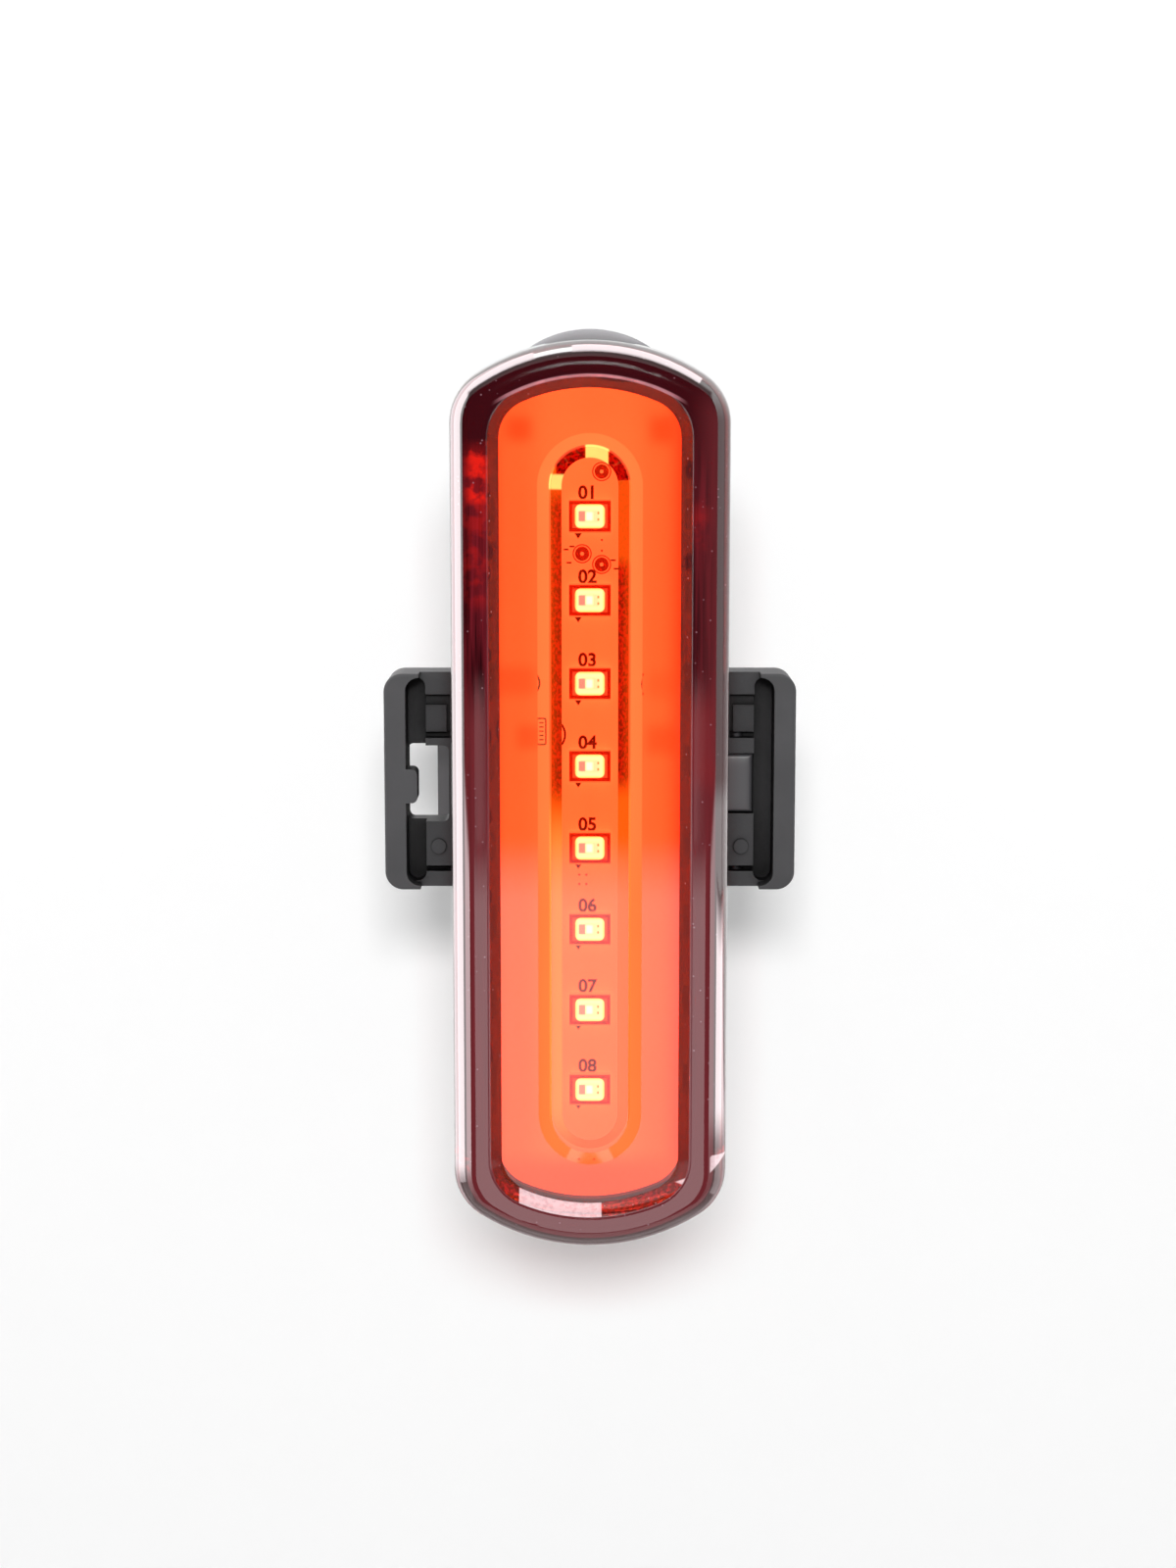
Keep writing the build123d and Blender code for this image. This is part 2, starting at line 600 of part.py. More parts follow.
def make_slide_rail():
    z_span = (RAIL_BOTTOM_Z, RAIL_TOP_Z)
    half = RAIL_HEAD_WIDTH / 2
    rail = block((-half, half), (RAIL_HEAD_FRONT_Y, RAIL_BACK_Y), z_span)
    half = RAIL_NECK_WIDTH / 2
    rail += block((-half, half), (HOUSING_BACK_Y, RAIL_HEAD_FRONT_Y), z_span)
    return without(rail, screw_shanks() + screw_heads())


def make_rail_screws():
    drive_span = (RAIL_BACK_Y - DRIVE_DEPTH, RAIL_BACK_Y)
    screws = []
    for z, shank, head in zip(rail_screw_places(), screw_shanks(), screw_heads()):
        screw = shank + head
        for reach, across in ((DRIVE_RADIUS, DRIVE_SLOT / 2), (DRIVE_SLOT / 2, DRIVE_RADIUS)):
            screw -= block((-reach, reach), drive_span, (z - across, z + across))
        screws.append(screw)
    return screws


def port_solid(grow, z_span):
    return oval(PORT_LENGTH + 2 * grow, PORT_WIDTH + 2 * grow, PORT_Y, z_span)


def hinge_rod(radius, length):
    """A round bar along X on the cover's hinge line."""
    return Pos(0, COVER_HINGE_Y, COVER_HINGE_Z) * Rot(0, QUARTER_TURN, 0) * Cylinder(radius, length)


def make_usb_cover():
    plate = oval(COVER_LENGTH, COVER_WIDTH, PORT_Y, (COVER_PLANE_Z, -PAST))
    plate &= slab(body_outline(HOUSING_INSET), HOUSING_BACK_Y, SEAM_Y)
    plate -= block((-PAST, PAST), (COVER_HINGE_Y, COVER_HINGE_Y + PAST), (COVER_PLANE_Z, -PAST))
    plate += hinge_rod(COVER_HINGE_RADIUS, COVER_HINGE_LENGTH)
    plug_span = (COVER_PLANE_Z, COVER_PLANE_Z + COVER_PLUG_HEIGHT)
    return plate + oval(COVER_PLUG_LENGTH, COVER_PLUG_WIDTH, PORT_Y, plug_span)


def tether_solid():
    """The room behind the hinge line for the cover's fixed end, open to below."""
    y_span = (COVER_HINGE_Y, COVER_HINGE_Y + COVER_SWING_RADIUS + TETHER_DEPTH)
    half = COVER_HINGE_LENGTH / 2
    return block((-half, half), y_span, (-PAST, TETHER_TOP_Z))


def make_usb_cover_anchor():
    anchor = tether_solid() - hinge_rod(COVER_SWING_RADIUS, PAST)
    return anchor - block((-PAST, PAST), (-PAST, PAST), (COVER_HINGE_Z, -PAST - OVERRUN))


def make_usb_socket():
    z_span = (PORT_MOUTH_Z, PORT_MOUTH_Z + PORT_DEPTH)
    hollow = (PORT_MOUTH_Z, PORT_MOUTH_Z + PORT_DEPTH - PORT_REAR_WALL)
    return port_solid(0, z_span) - port_solid(-PORT_SHELL, hollow)


def make_usb_tongue():
    half = TONGUE_LENGTH / 2
    y_span = (PORT_Y - TONGUE_THICKNESS / 2, PORT_Y + TONGUE_THICKNESS / 2)
    z_span = (PORT_MOUTH_Z + TONGUE_RECESS, PORT_MOUTH_Z + PORT_DEPTH - PORT_REAR_WALL)
    return block((-half, half), y_span, z_span)


def cavity_outline():
    height = CAVITY_TOP - CAVITY_BOTTOM
    middle = (CAVITY_TOP + CAVITY_BOTTOM) / 2
    return Pos(0, middle) * RectangleRounded(2 * CAVITY_HALF_WIDTH, height, CAVITY_CORNER)


def make_seal():
    y_back = SEAM_Y + SEAL_DEPTH
    ring = slab(body_outline(SEAL_INSET), y_back, SEAM_Y)
    return ring - slab(body_outline(SEAL_INSET + SEAL_WIDTH), y_back, SEAM_Y)


def make_rear_housing():
    shell = slab(body_outline(HOUSING_INSET), HOUSING_BACK_Y, SEAM_Y)
    shell = fillet(edges_at_y(shell, HOUSING_BACK_Y), HOUSING_REAR_ROUND)
    shell += slab(body_outline(SPIGOT_INSET), SEAM_Y, SPIGOT_END_Y)
    shell -= slab(body_outline(SPIGOT_INSET + SPIGOT_WALL), CAVITY_FRONT_Y, SPIGOT_END_Y)
    shell -= slab(cavity_outline(), CAVITY_BACK_Y, CAVITY_FRONT_Y)
    shell -= make_seal()
    grow = 2 * BUTTON_HOLE_GAP
    shell -= oval(BUTTON_LENGTH + grow, BUTTON_WIDTH + grow, BUTTON_Y, (CAVITY_TOP - OVERRUN, PAST))
    port_span = (CAVITY_BOTTOM + OVERRUN, COVER_PLANE_Z - OVERRUN)
    shell -= port_solid(PORT_OPENING_GAP, port_span)
    grow = 2 * COVER_GAP
    shell -= oval(COVER_LENGTH + grow, COVER_WIDTH + grow, PORT_Y, (COVER_PLANE_Z, -PAST))
    shell -= tether_solid()
    back = (CAVITY_BACK_Y, CONTROL_BOARD_Y)
    shelf = (CAVITY_BACK_Y, CAVITY_BACK_Y - SHELF_DEPTH)
    for side in (-1, 1):
        ledge_x = mirrored((LEDGE_INNER_X, CAVITY_HALF_WIDTH), side)
        shelf_x = mirrored((CAVITY_HALF_WIDTH - SHELF_WIDTH, CAVITY_HALF_WIDTH), side)
        shell += block(ledge_x, back, (LEDGE_BOTTOM, LEDGE_TOP))
        shell += block(shelf_x, shelf, (SWITCH_BOARD_BOTTOM, SWITCH_BOARD_BOTTOM - SHELF_THICKNESS))
    return without(shell, screw_shanks())


def make_power_button():
    cap = oval(BUTTON_LENGTH, BUTTON_WIDTH, BUTTON_Y, (BUTTON_FLANGE_TOP, BUTTON_TOP))
    y_span = (BUTTON_Y - BUTTON_WIDTH, BUTTON_Y + BUTTON_WIDTH)
    cap &= rod_y(BUTTON_DOME_RADIUS, 0, BUTTON_TOP - BUTTON_DOME_RADIUS, y_span)
    crown = [e for e in cap.edges() if e.bounding_box().min.Z > BUTTON_FLANGE_TOP + BUTTON_EDGE_ROUND]
    cap = fillet(crown, BUTTON_EDGE_ROUND)
    flange = (BUTTON_FLANGE_BOTTOM, BUTTON_FLANGE_TOP)
    cap += oval(BUTTON_FLANGE_LENGTH, BUTTON_FLANGE_WIDTH, BUTTON_Y, flange)
    return cap + rod(BUTTON_STEM_RADIUS, 0, BUTTON_Y, (STEM_BOTTOM, BUTTON_FLANGE_BOTTOM))


def make_switch_board():
    half = CAVITY_HALF_WIDTH - FIT_GAP
    y_span = (BUTTON_Y - SWITCH_BOARD_DEPTH / 2, BUTTON_Y + SWITCH_BOARD_DEPTH / 2)
    return block((-half, half), y_span, (SWITCH_BOARD_BOTTOM, SWITCH_BOARD_TOP))


def make_switch_body():
    y_span = (BUTTON_Y - SWITCH_WIDTH / 2, BUTTON_Y + SWITCH_WIDTH / 2)
    body = block((-SWITCH_LENGTH / 2, SWITCH_LENGTH / 2), y_span, (SWITCH_BOARD_TOP, SWITCH_TOP))
    well = (SWITCH_TOP - SWITCH_WELL_DEPTH, SWITCH_TOP)
    return body - rod(PLUNGER_RADIUS + PLUNGER_RUNNING_GAP, 0, BUTTON_Y, well)


def make_switch_plunger():
    return rod(PLUNGER_RADIUS, 0, BUTTON_Y, (SWITCH_TOP - PLUNGER_SINK, PLUNGER_TOP))


def make_battery_cell():
    half = BATTERY_HALF_WIDTH
    cell = block((-half, half), (BATTERY_FRONT_Y, BATTERY_BACK_Y), (BATTERY_BOTTOM, BATTERY_TOP))
    return fillet(cell.edges().filter_by(Axis.Z), BATTERY_ROUND)


def make_battery_foam():
    half = BATTERY_HALF_WIDTH - FOAM_INSET
    z_span = (BATTERY_BOTTOM + FOAM_INSET, BATTERY_TOP - FOAM_INSET)
    return block((-half, half), (FOAM_BACK_Y - FOAM_THICKNESS, FOAM_BACK_Y), z_span)


def make_battery_lead(side):
    x = side * BATTERY_LEAD_X
    end = CONTROL_BOARD_TOP - BATTERY_LEAD_BELOW_TOP
    return lead([(x, BATTERY_LEAD_Y, BATTERY_BOTTOM), (x, BATTERY_LEAD_Y, end), (x, CONTROL_BOARD_Y, end)])


def make_switch_leads():
    end = CONTROL_BOARD_TOP - SWITCH_LEAD_BELOW_TOP
    wires = []
    for side in (-1, 1):
        x = side * SWITCH_LEAD_X
        top = (x, SWITCH_LEAD_Y, SWITCH_BOARD_BOTTOM)
        wires.append(lead([top, (x, SWITCH_LEAD_Y, end), (x, CONTROL_BOARD_Y, end)]))
    return wires


def make_saddle_pad():
    half = SADDLE_TOP - PAD_END_GAP
    pad = sector(PAD_INNER_RADIUS, PAD_OUTER_RADIUS, PAD_HALF_ANGLE, (-half, half))
    for i in range(PAD_GROOVE_COUNT):
        z = PAD_GROOVE_PITCH * (i - (PAD_GROOVE_COUNT - 1) / 2)
        z_span = (z - PAD_GROOVE_HEIGHT / 2, z + PAD_GROOVE_HEIGHT / 2)
        pad -= rod(PAD_INNER_RADIUS + PAD_GROOVE_DEPTH, 0, 0, z_span)
    return pad


def strap_pin_solid():
    top = -SLOT_DROP + ANCHOR_HEIGHT / 2 + STRAP_PIN_BITE
    return rod(STRAP_PIN_RADIUS, STRAP_PIN_X, STRAP_PIN_Y, (-BRACKET_TOP + STRAP_PIN_SINK, top))


def strap_path():
    """Straight from the root until it clears the saddle, then curled round the post."""
    start = Vector(STRAP_ROOT_X, STRAP_ROOT_Y)
    wrap = SADDLE_RADIUS + STRAP_SADDLE_GAP + STRAP_THICKNESS / 2
    turn = atan2(start.Y, start.X) + acos(wrap / start.length)
    touch = Vector(wrap * cos(turn), wrap * sin(turn))
    straight = Line(start, touch)
    curl = JernArc(touch, straight % 1, STRAP_CURL_RADIUS, STRAP_CURL_ANGLE)
    return Wire([straight.edge(), curl.edge()])


def make_strap():
    path = strap_path()
    middle = Pos(0, 0, -SLOT_DROP)
    section = Plane(origin=path @ 0, x_dir=(0, 0, 1), z_dir=path % 0) * Rectangle(STRAP_WIDTH,
                                                                                  STRAP_THICKNESS)
    strap = middle * sweep(section, path=path)
    strap += middle * rod(STRAP_THICKNESS / 2, STRAP_ROOT_X, STRAP_ROOT_Y,
                          (-STRAP_WIDTH / 2, STRAP_WIDTH / 2))
    for i in range(STRAP_HOLE_COUNT):
        along = path.length - STRAP_TIP_REACH - i * STRAP_HOLE_PITCH
        place = path.position_at(along, position_mode=PositionMode.LENGTH)
        ahead = path.tangent_at(along, position_mode=PositionMode.LENGTH)
        at_hole = Plane(origin=place, x_dir=(0, 0, 1), z_dir=ahead).location
        hole = Box(STRAP_HOLE_HEIGHT, STRAP_THICKNESS + OVERRUN, STRAP_HOLE_LENGTH)
        strap -= middle * at_hole * hole
    tip = path @ 1
    corners = [e for e in strap.edges()
               if (e.center() - Vector(tip.X, tip.Y, e.center().Z)).length < TINY
               and abs(e.length - STRAP_THICKNESS) < TINY]
    return fillet(corners, STRAP_TIP_CORNER)


def make_strap_anchor():
    front = PLATE_FRONT_Y + ANCHOR_RECESS
    rear = STRAP_ROOT_Y - STRAP_THICKNESS / 2 - STRAP_ROOT_GAP
    x_span = (ANCHOR_SLOT_INNER_X + ANCHOR_GAP, GROOVE_INNER_X - ANCHOR_GAP)
    z_span = (-SLOT_DROP - STRAP_WIDTH / 2, -SLOT_DROP + STRAP_WIDTH / 2)
    return block(x_span, (front, rear), z_span) - strap_pin_solid()


def ear_details(side):
    """The pockets to take out of one ear, and the low raised shapes to put back."""
    pocket_x = mirrored((EAR_POCKET_INNER_X, GROOVE_INNER_X + TINY), side)
    pad_x = mirrored((EAR_POCKET_INNER_X + EAR_PAD_INSET, GROOVE_INNER_X), side)
    top = BRACKET_TOP - EAR_TOP_STRIP
    low = top - EAR_POCKET_HEIGHT
    floor = -BRACKET_TOP + EAR_BOTTOM_STRIP
    front = PLATE_FRONT_Y - TINY
    gap_y = (front, PLATE_FRONT_Y + EAR_GAP_DEPTH)
    cuts = [
        block(pocket_x, (front, PLATE_FRONT_Y + EAR_POCKET_DEPTH), (low, top)),
        block(pocket_x, gap_y, (low - EAR_GAP_HEIGHT, low)),
        block(pocket_x, gap_y, (floor, floor + EAR_GAP_HEIGHT)),
    ]
    raised = [
        block(
            pad_x,
            (PLATE_FRONT_Y + EAR_POCKET_DEPTH - EAR_PAD_RISE, PLATE_FRONT_Y + EAR_POCKET_DEPTH),
            (low, top - EAR_PAD_DROP),
        ),
        rod_y(EJECTOR_RADIUS, side * EJECTOR_X, EJECTOR_Z, (PLATE_FRONT_Y - EJECTOR_RISE, PLATE_FRONT_Y)),
    ]
    return cuts, raised


def make_strap_bracket():
    outline = RectangleRounded(BRACKET_WIDTH, BRACKET_HEIGHT, BRACKET_CORNER)
    z_span = (-BRACKET_TOP, BRACKET_TOP)
    bracket = slab(outline, PLATE_BACK_Y, PLATE_FRONT_Y)
    well = RectangleRounded(2 * FLANGE_INNER_X, BRACKET_HEIGHT - 2 * FLANGE_RIM, FLANGE_CORNER)
    flange = slab(outline, PLATE_FRONT_Y, FLANGE_FRONT_Y)
    flange = fillet(edges_at_y(flange, FLANGE_FRONT_Y), FLANGE_EDGE_ROUND)
    flange -= slab(well, PLATE_FRONT_Y, FLANGE_FRONT_Y)
    for side in (-1, 1):
        ear = mirrored((FLANGE_INNER_X - FLANGE_CORNER, BRACKET_SIDE), side)
        bracket += flange & block(ear, (PLATE_FRONT_Y, FLANGE_FRONT_Y), z_span)
    core = CHANNEL_HALF_WIDTH + CHANNEL_SIDE_WALL
    back = block((-core, core), (PLATE_FRONT_Y, 0), z_span)
    for z in (-SADDLE_TOP + RIB_THICKNESS / 2, 0, SADDLE_TOP - RIB_THICKNESS / 2):
        half = RIB_THICKNESS / 2
        tall = -PAD_OUTER_RADIUS * cos(radians(PAD_HALF_ANGLE))
        back += block((-RIB_HALF_WIDTH, RIB_HALF_WIDTH), (PLATE_FRONT_Y, tall), (z - half, z + half))
    back -= rod(SADDLE_RADIUS - TINY, 0, 0, (-PAST, PAST))
    bracket += back
    saddle_z = (-SADDLE_TOP, SADDLE_TOP)
    bracket += sector(PAD_OUTER_RADIUS, SADDLE_RADIUS, PAD_HALF_ANGLE + SADDLE_LIP_ANGLE, saddle_z)
    channel_z = (-BRACKET_TOP + STOP_THICKNESS, PAST)
    half = CHANNEL_HALF_WIDTH
    bracket -= block((-half, half), (CHANNEL_ROOF_Y, CHANNEL_FLOOR_Y), channel_z)
    half = RAIL_NECK_WIDTH / 2 + RAIL_SIDE_GAP
    bracket -= block((-half, half), (PLATE_FRONT_Y - OVERRUN, CHANNEL_FLOOR_Y), channel_z)
    groove_length = BRACKET_HEIGHT - 2 * GROOVE_RIM
    groove = RectangleRounded(GROOVE_WIDTH, groove_length, GROOVE_CORNER)
    for side in (-1, 1):
        middle = side * (GROOVE_INNER_X + GROOVE_WIDTH / 2)
        bracket -= slab(Pos(middle, 0) * groove, PLATE_FRONT_Y + GROOVE_DEPTH, PLATE_FRONT_Y)
        cuts, raised = ear_details(side)
        bracket = without(bracket, cuts)
        for shape in raised:
            bracket += shape
    through = (PLATE_BACK_Y + OVERRUN, PLATE_FRONT_Y - OVERRUN)
    hook_width = FLANGE_INNER_X - SLOT_INNER_X
    hook_slot = RectangleRounded(hook_width, HOOK_SLOT_HEIGHT, SLOT_CORNER)
    bracket -= slab(Pos(-FLANGE_INNER_X + hook_width / 2, -SLOT_DROP) * hook_slot, *through)
    tab = RectangleRounded(2 * HOOK_TAB_REACH, HOOK_TAB_HEIGHT, HOOK_TAB_REACH / 2)
    tab_back = FLANGE_FRONT_Y + HOOK_TAB_THICKNESS
    bracket += slab(Pos(-FLANGE_INNER_X, -SLOT_DROP) * tab, tab_back, FLANGE_FRONT_Y)
    half = ANCHOR_HEIGHT / 2
    bracket -= block((ANCHOR_SLOT_INNER_X, GROOVE_INNER_X), through, (-SLOT_DROP - half, -SLOT_DROP + half))
    bore = rod(STRAP_PIN_RADIUS, STRAP_PIN_X, STRAP_PIN_Y, (-PAST, -BRACKET_TOP + STRAP_PIN_SINK))
    return bracket - strap_pin_solid() - bore


def parts():
    return {
        "lens_cover": make_lens_cover(),
        "inner_bezel": make_inner_bezel(),
        "led_board": make_led_board(),
        "led_packages": make_led_packages(),
        "led_lenses": make_led_lenses(),
        "led_resistors": make_led_resistors(),
        "lens_seal": make_seal(),
        "rear_housing": make_rear_housing(),
        "battery_cell": make_battery_cell(),
        "battery_foam": make_battery_foam(),
        "battery_lead_red": make_battery_lead(1),
        "battery_lead_black": make_battery_lead(-1),
        "control_board": make_control_board(),
        "control_chips": make_control_chips(),
        "header_block": make_header_block(),
        "header_pins": header_pins(),
        "usb_socket": make_usb_socket(),
        "usb_tongue": make_usb_tongue(),
        "usb_cover": make_usb_cover(),
        "usb_cover_anchor": make_usb_cover_anchor(),
        "power_button": make_power_button(),
        "switch_plunger": make_switch_plunger(),
        "switch_body": make_switch_body(),
        "switch_board": make_switch_board(),
        "switch_leads": make_switch_leads(),
        "slide_rail": make_slide_rail(),
        "rail_screws": make_rail_screws(),
        "strap_bracket": make_strap_bracket(),
        "saddle_pad": make_saddle_pad(),
        "strap_anchor": make_strap_anchor(),
        "strap_pin": strap_pin_solid(),
        "strap": make_strap(),
    }


if __name__ == "__main__":
    os.makedirs("parts", exist_ok=True)
    for name, shape in parts().items():
        if isinstance(shape, list):
            shape = Compound(children=shape)
        export_step(shape, f"parts/{name}.step")
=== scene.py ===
import math

import bmesh
import bpy
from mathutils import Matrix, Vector


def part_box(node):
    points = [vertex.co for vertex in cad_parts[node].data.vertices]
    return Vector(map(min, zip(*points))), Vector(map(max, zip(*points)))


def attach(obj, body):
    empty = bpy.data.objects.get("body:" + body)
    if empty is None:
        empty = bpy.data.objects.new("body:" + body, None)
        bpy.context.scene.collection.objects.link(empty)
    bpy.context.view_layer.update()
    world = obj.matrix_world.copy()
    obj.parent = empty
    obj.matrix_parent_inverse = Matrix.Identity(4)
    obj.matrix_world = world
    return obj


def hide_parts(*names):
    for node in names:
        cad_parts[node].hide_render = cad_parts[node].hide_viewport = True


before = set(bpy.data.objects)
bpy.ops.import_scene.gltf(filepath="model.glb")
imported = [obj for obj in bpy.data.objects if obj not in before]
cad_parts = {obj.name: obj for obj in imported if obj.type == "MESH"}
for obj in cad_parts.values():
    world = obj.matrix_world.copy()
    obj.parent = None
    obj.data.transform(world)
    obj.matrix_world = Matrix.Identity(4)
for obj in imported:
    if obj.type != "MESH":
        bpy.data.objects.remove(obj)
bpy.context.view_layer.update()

MM = 0.001

# The camera looks at the middle of the lens from a little above
CAMERA_DISTANCE = 224 * MM
CAMERA_ELEVATION = math.radians(8.5)
CAMERA_PITCH = math.radians(8.25)
CAMERA_SIDE = -0.16 * MM
CAMERA_AIM_HEIGHT = 0.9 * MM
CAMERA_LENS = 62.03
CAMERA_SENSOR = 36.0

# Places on the light, in millimetres; y grows from the lens towards the seat post
WINDOW_Y = -34.4
WINDOW_HALF_WIDTH = 7.5
WINDOW_END_RADIUS = 13.9
WINDOW_END_CENTRE = 20.5
BAR_CENTRE_Z = -0.2
BAR_HALF_STRAIGHT = 26.55
BAR_SLOPE = (2.35, 3.25)
BAR_SKIRT = (3.25, 4.35)
BORDER_FRONT_Y = -35.8
STEP_Y = (-35.9, WINDOW_Y - 0.06)
SLOPE_Y = (-33.8, -32.3)
SHOULDER_Y = -33.6
BOARD_Y = -30.8
PAST = 60.0     # further out than any part of the light
LAMP_COUNT = 8
LAMP_PITCH = 7.0
LAMP_ROW_SHIFT = -0.7

# Colours are linear red, green, blue
WHITE = (1.0, 1.0, 1.0)
BLACK = (0.0, 0.0, 0.0)


# Node helpers

def place(tree, kind, inputs=None, **settings):
    """A new shader node; an input is a number, vector, colour, output or node (its first output)."""
    node = tree.nodes.new("ShaderNode" + kind)
    for name, value in settings.items():
        setattr(node, name, value)
    for name, value in (inputs or {}).items():
        socket = node.inputs[name]
        if isinstance(value, bpy.types.Node):
            value = value.outputs[0]
        if isinstance(value, bpy.types.NodeSocket):
            tree.links.new(value, socket)
        elif socket.type == "RGBA":
            socket.default_value = (*value, 1.0)
        else:
            socket.default_value = value
    return node


def calc(tree, operation, *values):
    """The result of one sum on numbers or outputs."""
    return place(tree, "Math", dict(enumerate(values)), operation=operation).outputs[0]


def multiply(tree, *values):
    result = values[0]
    for value in values[1:]:
        result = calc(tree, "MULTIPLY", result, value)
    return result


def any_of(tree, masks):
    result = masks[0]
    for mask in masks[1:]:
        result = calc(tree, "MAXIMUM", result, mask)
    return result


def mix_colour(tree, mask, first, second, blend="MIX"):
    inputs = {0: mask, 6: first, 7: second}
    return place(tree, "Mix", inputs, data_type="RGBA", blend_type=blend).outputs[2]


def layered(tree, colour, layers):
    """A colour with others laid over it in turn, each where its mask says."""
    for mask, layer in layers:
        colour = mix_colour(tree, mask, colour, layer)
    return colour


def mix_number(tree, mask, first, second):
    return place(tree, "Mix", {0: mask, 2: first, 3: second}).outputs[0]


def remap(tree, value, low, high, first=0.0, last=1.0, kind="LINEAR"):
    """A value stretched so that low gives the first number and high the last."""
    inputs = {"Value": value, "From Min": low, "From Max": high, "To Min": first, "To Max": last}
    return place(tree, "MapRange", inputs, interpolation_type=kind).outputs[0]


def noise(tree, vector, scale, detail, roughness=0.5):
    inputs = {"Vector": vector, "Scale": scale, "Detail": detail, "Roughness": roughness}
    return place(tree, "TexNoise", inputs).outputs["Fac"]


def new_group(name, inputs, outputs):
    """A shader group with its named sockets, and the nodes that stand for them inside it."""
    group = bpy.data.node_groups.new(name, "ShaderNodeTree")
    for label, default in inputs.items():
        socket = group.interface.new_socket(label, in_out="INPUT", socket_type=FLOAT)
        socket.default_value = default
    for label, kind in outputs.items():
        group.interface.new_socket(label, in_out="OUTPUT", socket_type=kind)
    return group, group.nodes.new("NodeGroupInput").outputs, group.nodes.new("NodeGroupOutput")


def finish_group(group, out, **values):
    for name, value in values.items():
        group.links.new(value, out.inputs[name])
    return group


def use_group(tree, group, **inputs):
    named = {name.replace("_", " "): value for name, value in inputs.items()}
    return place(tree, "Group", named, node_tree=group).outputs


FLOAT = "NodeSocketFloat"
VECTOR = "NodeSocketVector"


def make_place_group():
    """Where a point is in the light's own frame, in millimetres."""
    group, _, out = new_group("place in mm", {}, {"X": FLOAT, "Y": FLOAT, "Z": FLOAT, "Position": VECTOR})
    coordinates = place(group, "TexCoord").outputs["Object"]
    inputs = {0: coordinates, "Scale": 1 / MM}
    position = place(group, "VectorMath", inputs, operation="SCALE").outputs[0]
    x, y, z = place(group, "SeparateXYZ", {0: position}).outputs
    return finish_group(group, out, X=x, Y=y, Z=z, Position=position)


def make_band_group():
    """1 between two values and 0 outside them, with soft ends."""
    group, given, out = new_group(
        "band", {"Value": 0.0, "Low": 0.0, "High": 1.0, "Softness": 0.1}, {"Mask": FLOAT}
    )
    half = calc(group, "MULTIPLY", given["Softness"], 0.5)
    sides = []
    for edge, first, last in (("Low", 0.0, 1.0), ("High", 1.0, 0.0)):
        start = calc(group, "SUBTRACT", given[edge], half)
        end = calc(group, "ADD", given[edge], half)
        sides.append(remap(group, given["Value"], start, end, first, last, "SMOOTHSTEP"))
    return finish_group(group, out, Mask=multiply(group, *sides))


def make_grain_group():
    """Fine moulded grain and a broad uneven tone."""
    group, given, out = new_group(
        "moulded grain", {"Grain per mm": 3.0, "Tone per mm": 0.15}, {"Height": FLOAT, "Tone": FLOAT}
    )
    position = use_group(group, PLACE)["Position"]
    fine = noise(group, position, given["Grain per mm"], 3.0, 0.6)
    broad = noise(group, position, given["Tone per mm"], 4.0, 0.55)
    return finish_group(group, out, Height=fine, Tone=broad)


def make_wear_group():
    """Rubbed edges: a rounded normal, and a mask where it leaves the true one."""
    group, given, out = new_group(
        "edge wear", {"Radius": 0.15 * MM, "Amount": 1.0}, {"Normal": VECTOR, "Mask": FLOAT}
    )
    rounded = place(group, "Bevel", {"Radius": given["Radius"]}, samples=6).outputs[0]
    true = place(group, "NewGeometry").outputs["Normal"]
    same = place(group, "VectorMath", {0: rounded, 1: true}, operation="DOT_PRODUCT")
    off = calc(group, "SUBTRACT", 1.0, same.outputs["Value"])
    patchy = noise(group, use_group(group, PLACE)["Position"], 0.9, 4.0)
    worn = remap(group, multiply(group, off, patchy), 0.01, 0.12)
    return finish_group(group, out, Normal=rounded, Mask=multiply(group, worn, given["Amount"]))


def make_dust_group():
    """Sparse small specks."""
    group, given, out = new_group("dust", {"Specks per mm": 1.2, "Size": 0.12}, {"Mask": FLOAT})
    position = use_group(group, PLACE)["Position"]
    cells = place(group, "TexVoronoi", {"Vector": position, "Scale": given["Specks per mm"]})
    near = remap(group, cells.outputs["Distance"], given["Size"], 0.0)
    shade = place(group, "SeparateColor", {0: cells.outputs["Color"]}).outputs[0]
    chosen = calc(group, "GREATER_THAN", shade, 0.72)
    return finish_group(group, out, Mask=multiply(group, near, chosen))


def make_painted_shade_group():
    """Mask for painted shade: 1 on open surfaces, down to 0 deep in grooves and corners."""
    group, given, out = new_group("painted_shade", {"Reach": 1.5 * MM, "Strength": 1.0}, {"Open": FLOAT})
    shade = place(group, "AmbientOcclusion", {"Distance": given["Reach"]}, samples=6)
    open_part = remap(group, shade.outputs["AO"], 0.25, 0.95, kind="SMOOTHSTEP")
    return finish_group(group, out, Open=mix_number(group, given["Strength"], 1.0, open_part))


def make_bar_group():
    """Distance from the middle line of the bar over the lamps, in millimetres."""
    group, _, out = new_group("bar distance", {}, {"Distance": FLOAT})
    where = use_group(group, PLACE)
    along = calc(group, "ABSOLUTE", calc(group, "SUBTRACT", where["Z"], BAR_CENTRE_Z))
    past = calc(group, "MAXIMUM", calc(group, "SUBTRACT", along, BAR_HALF_STRAIGHT), 0.0)
    squares = calc(group, "ADD", multiply(group, where["X"], where["X"]), multiply(group, past, past))
    return finish_group(group, out, Distance=calc(group, "SQRT", squares))


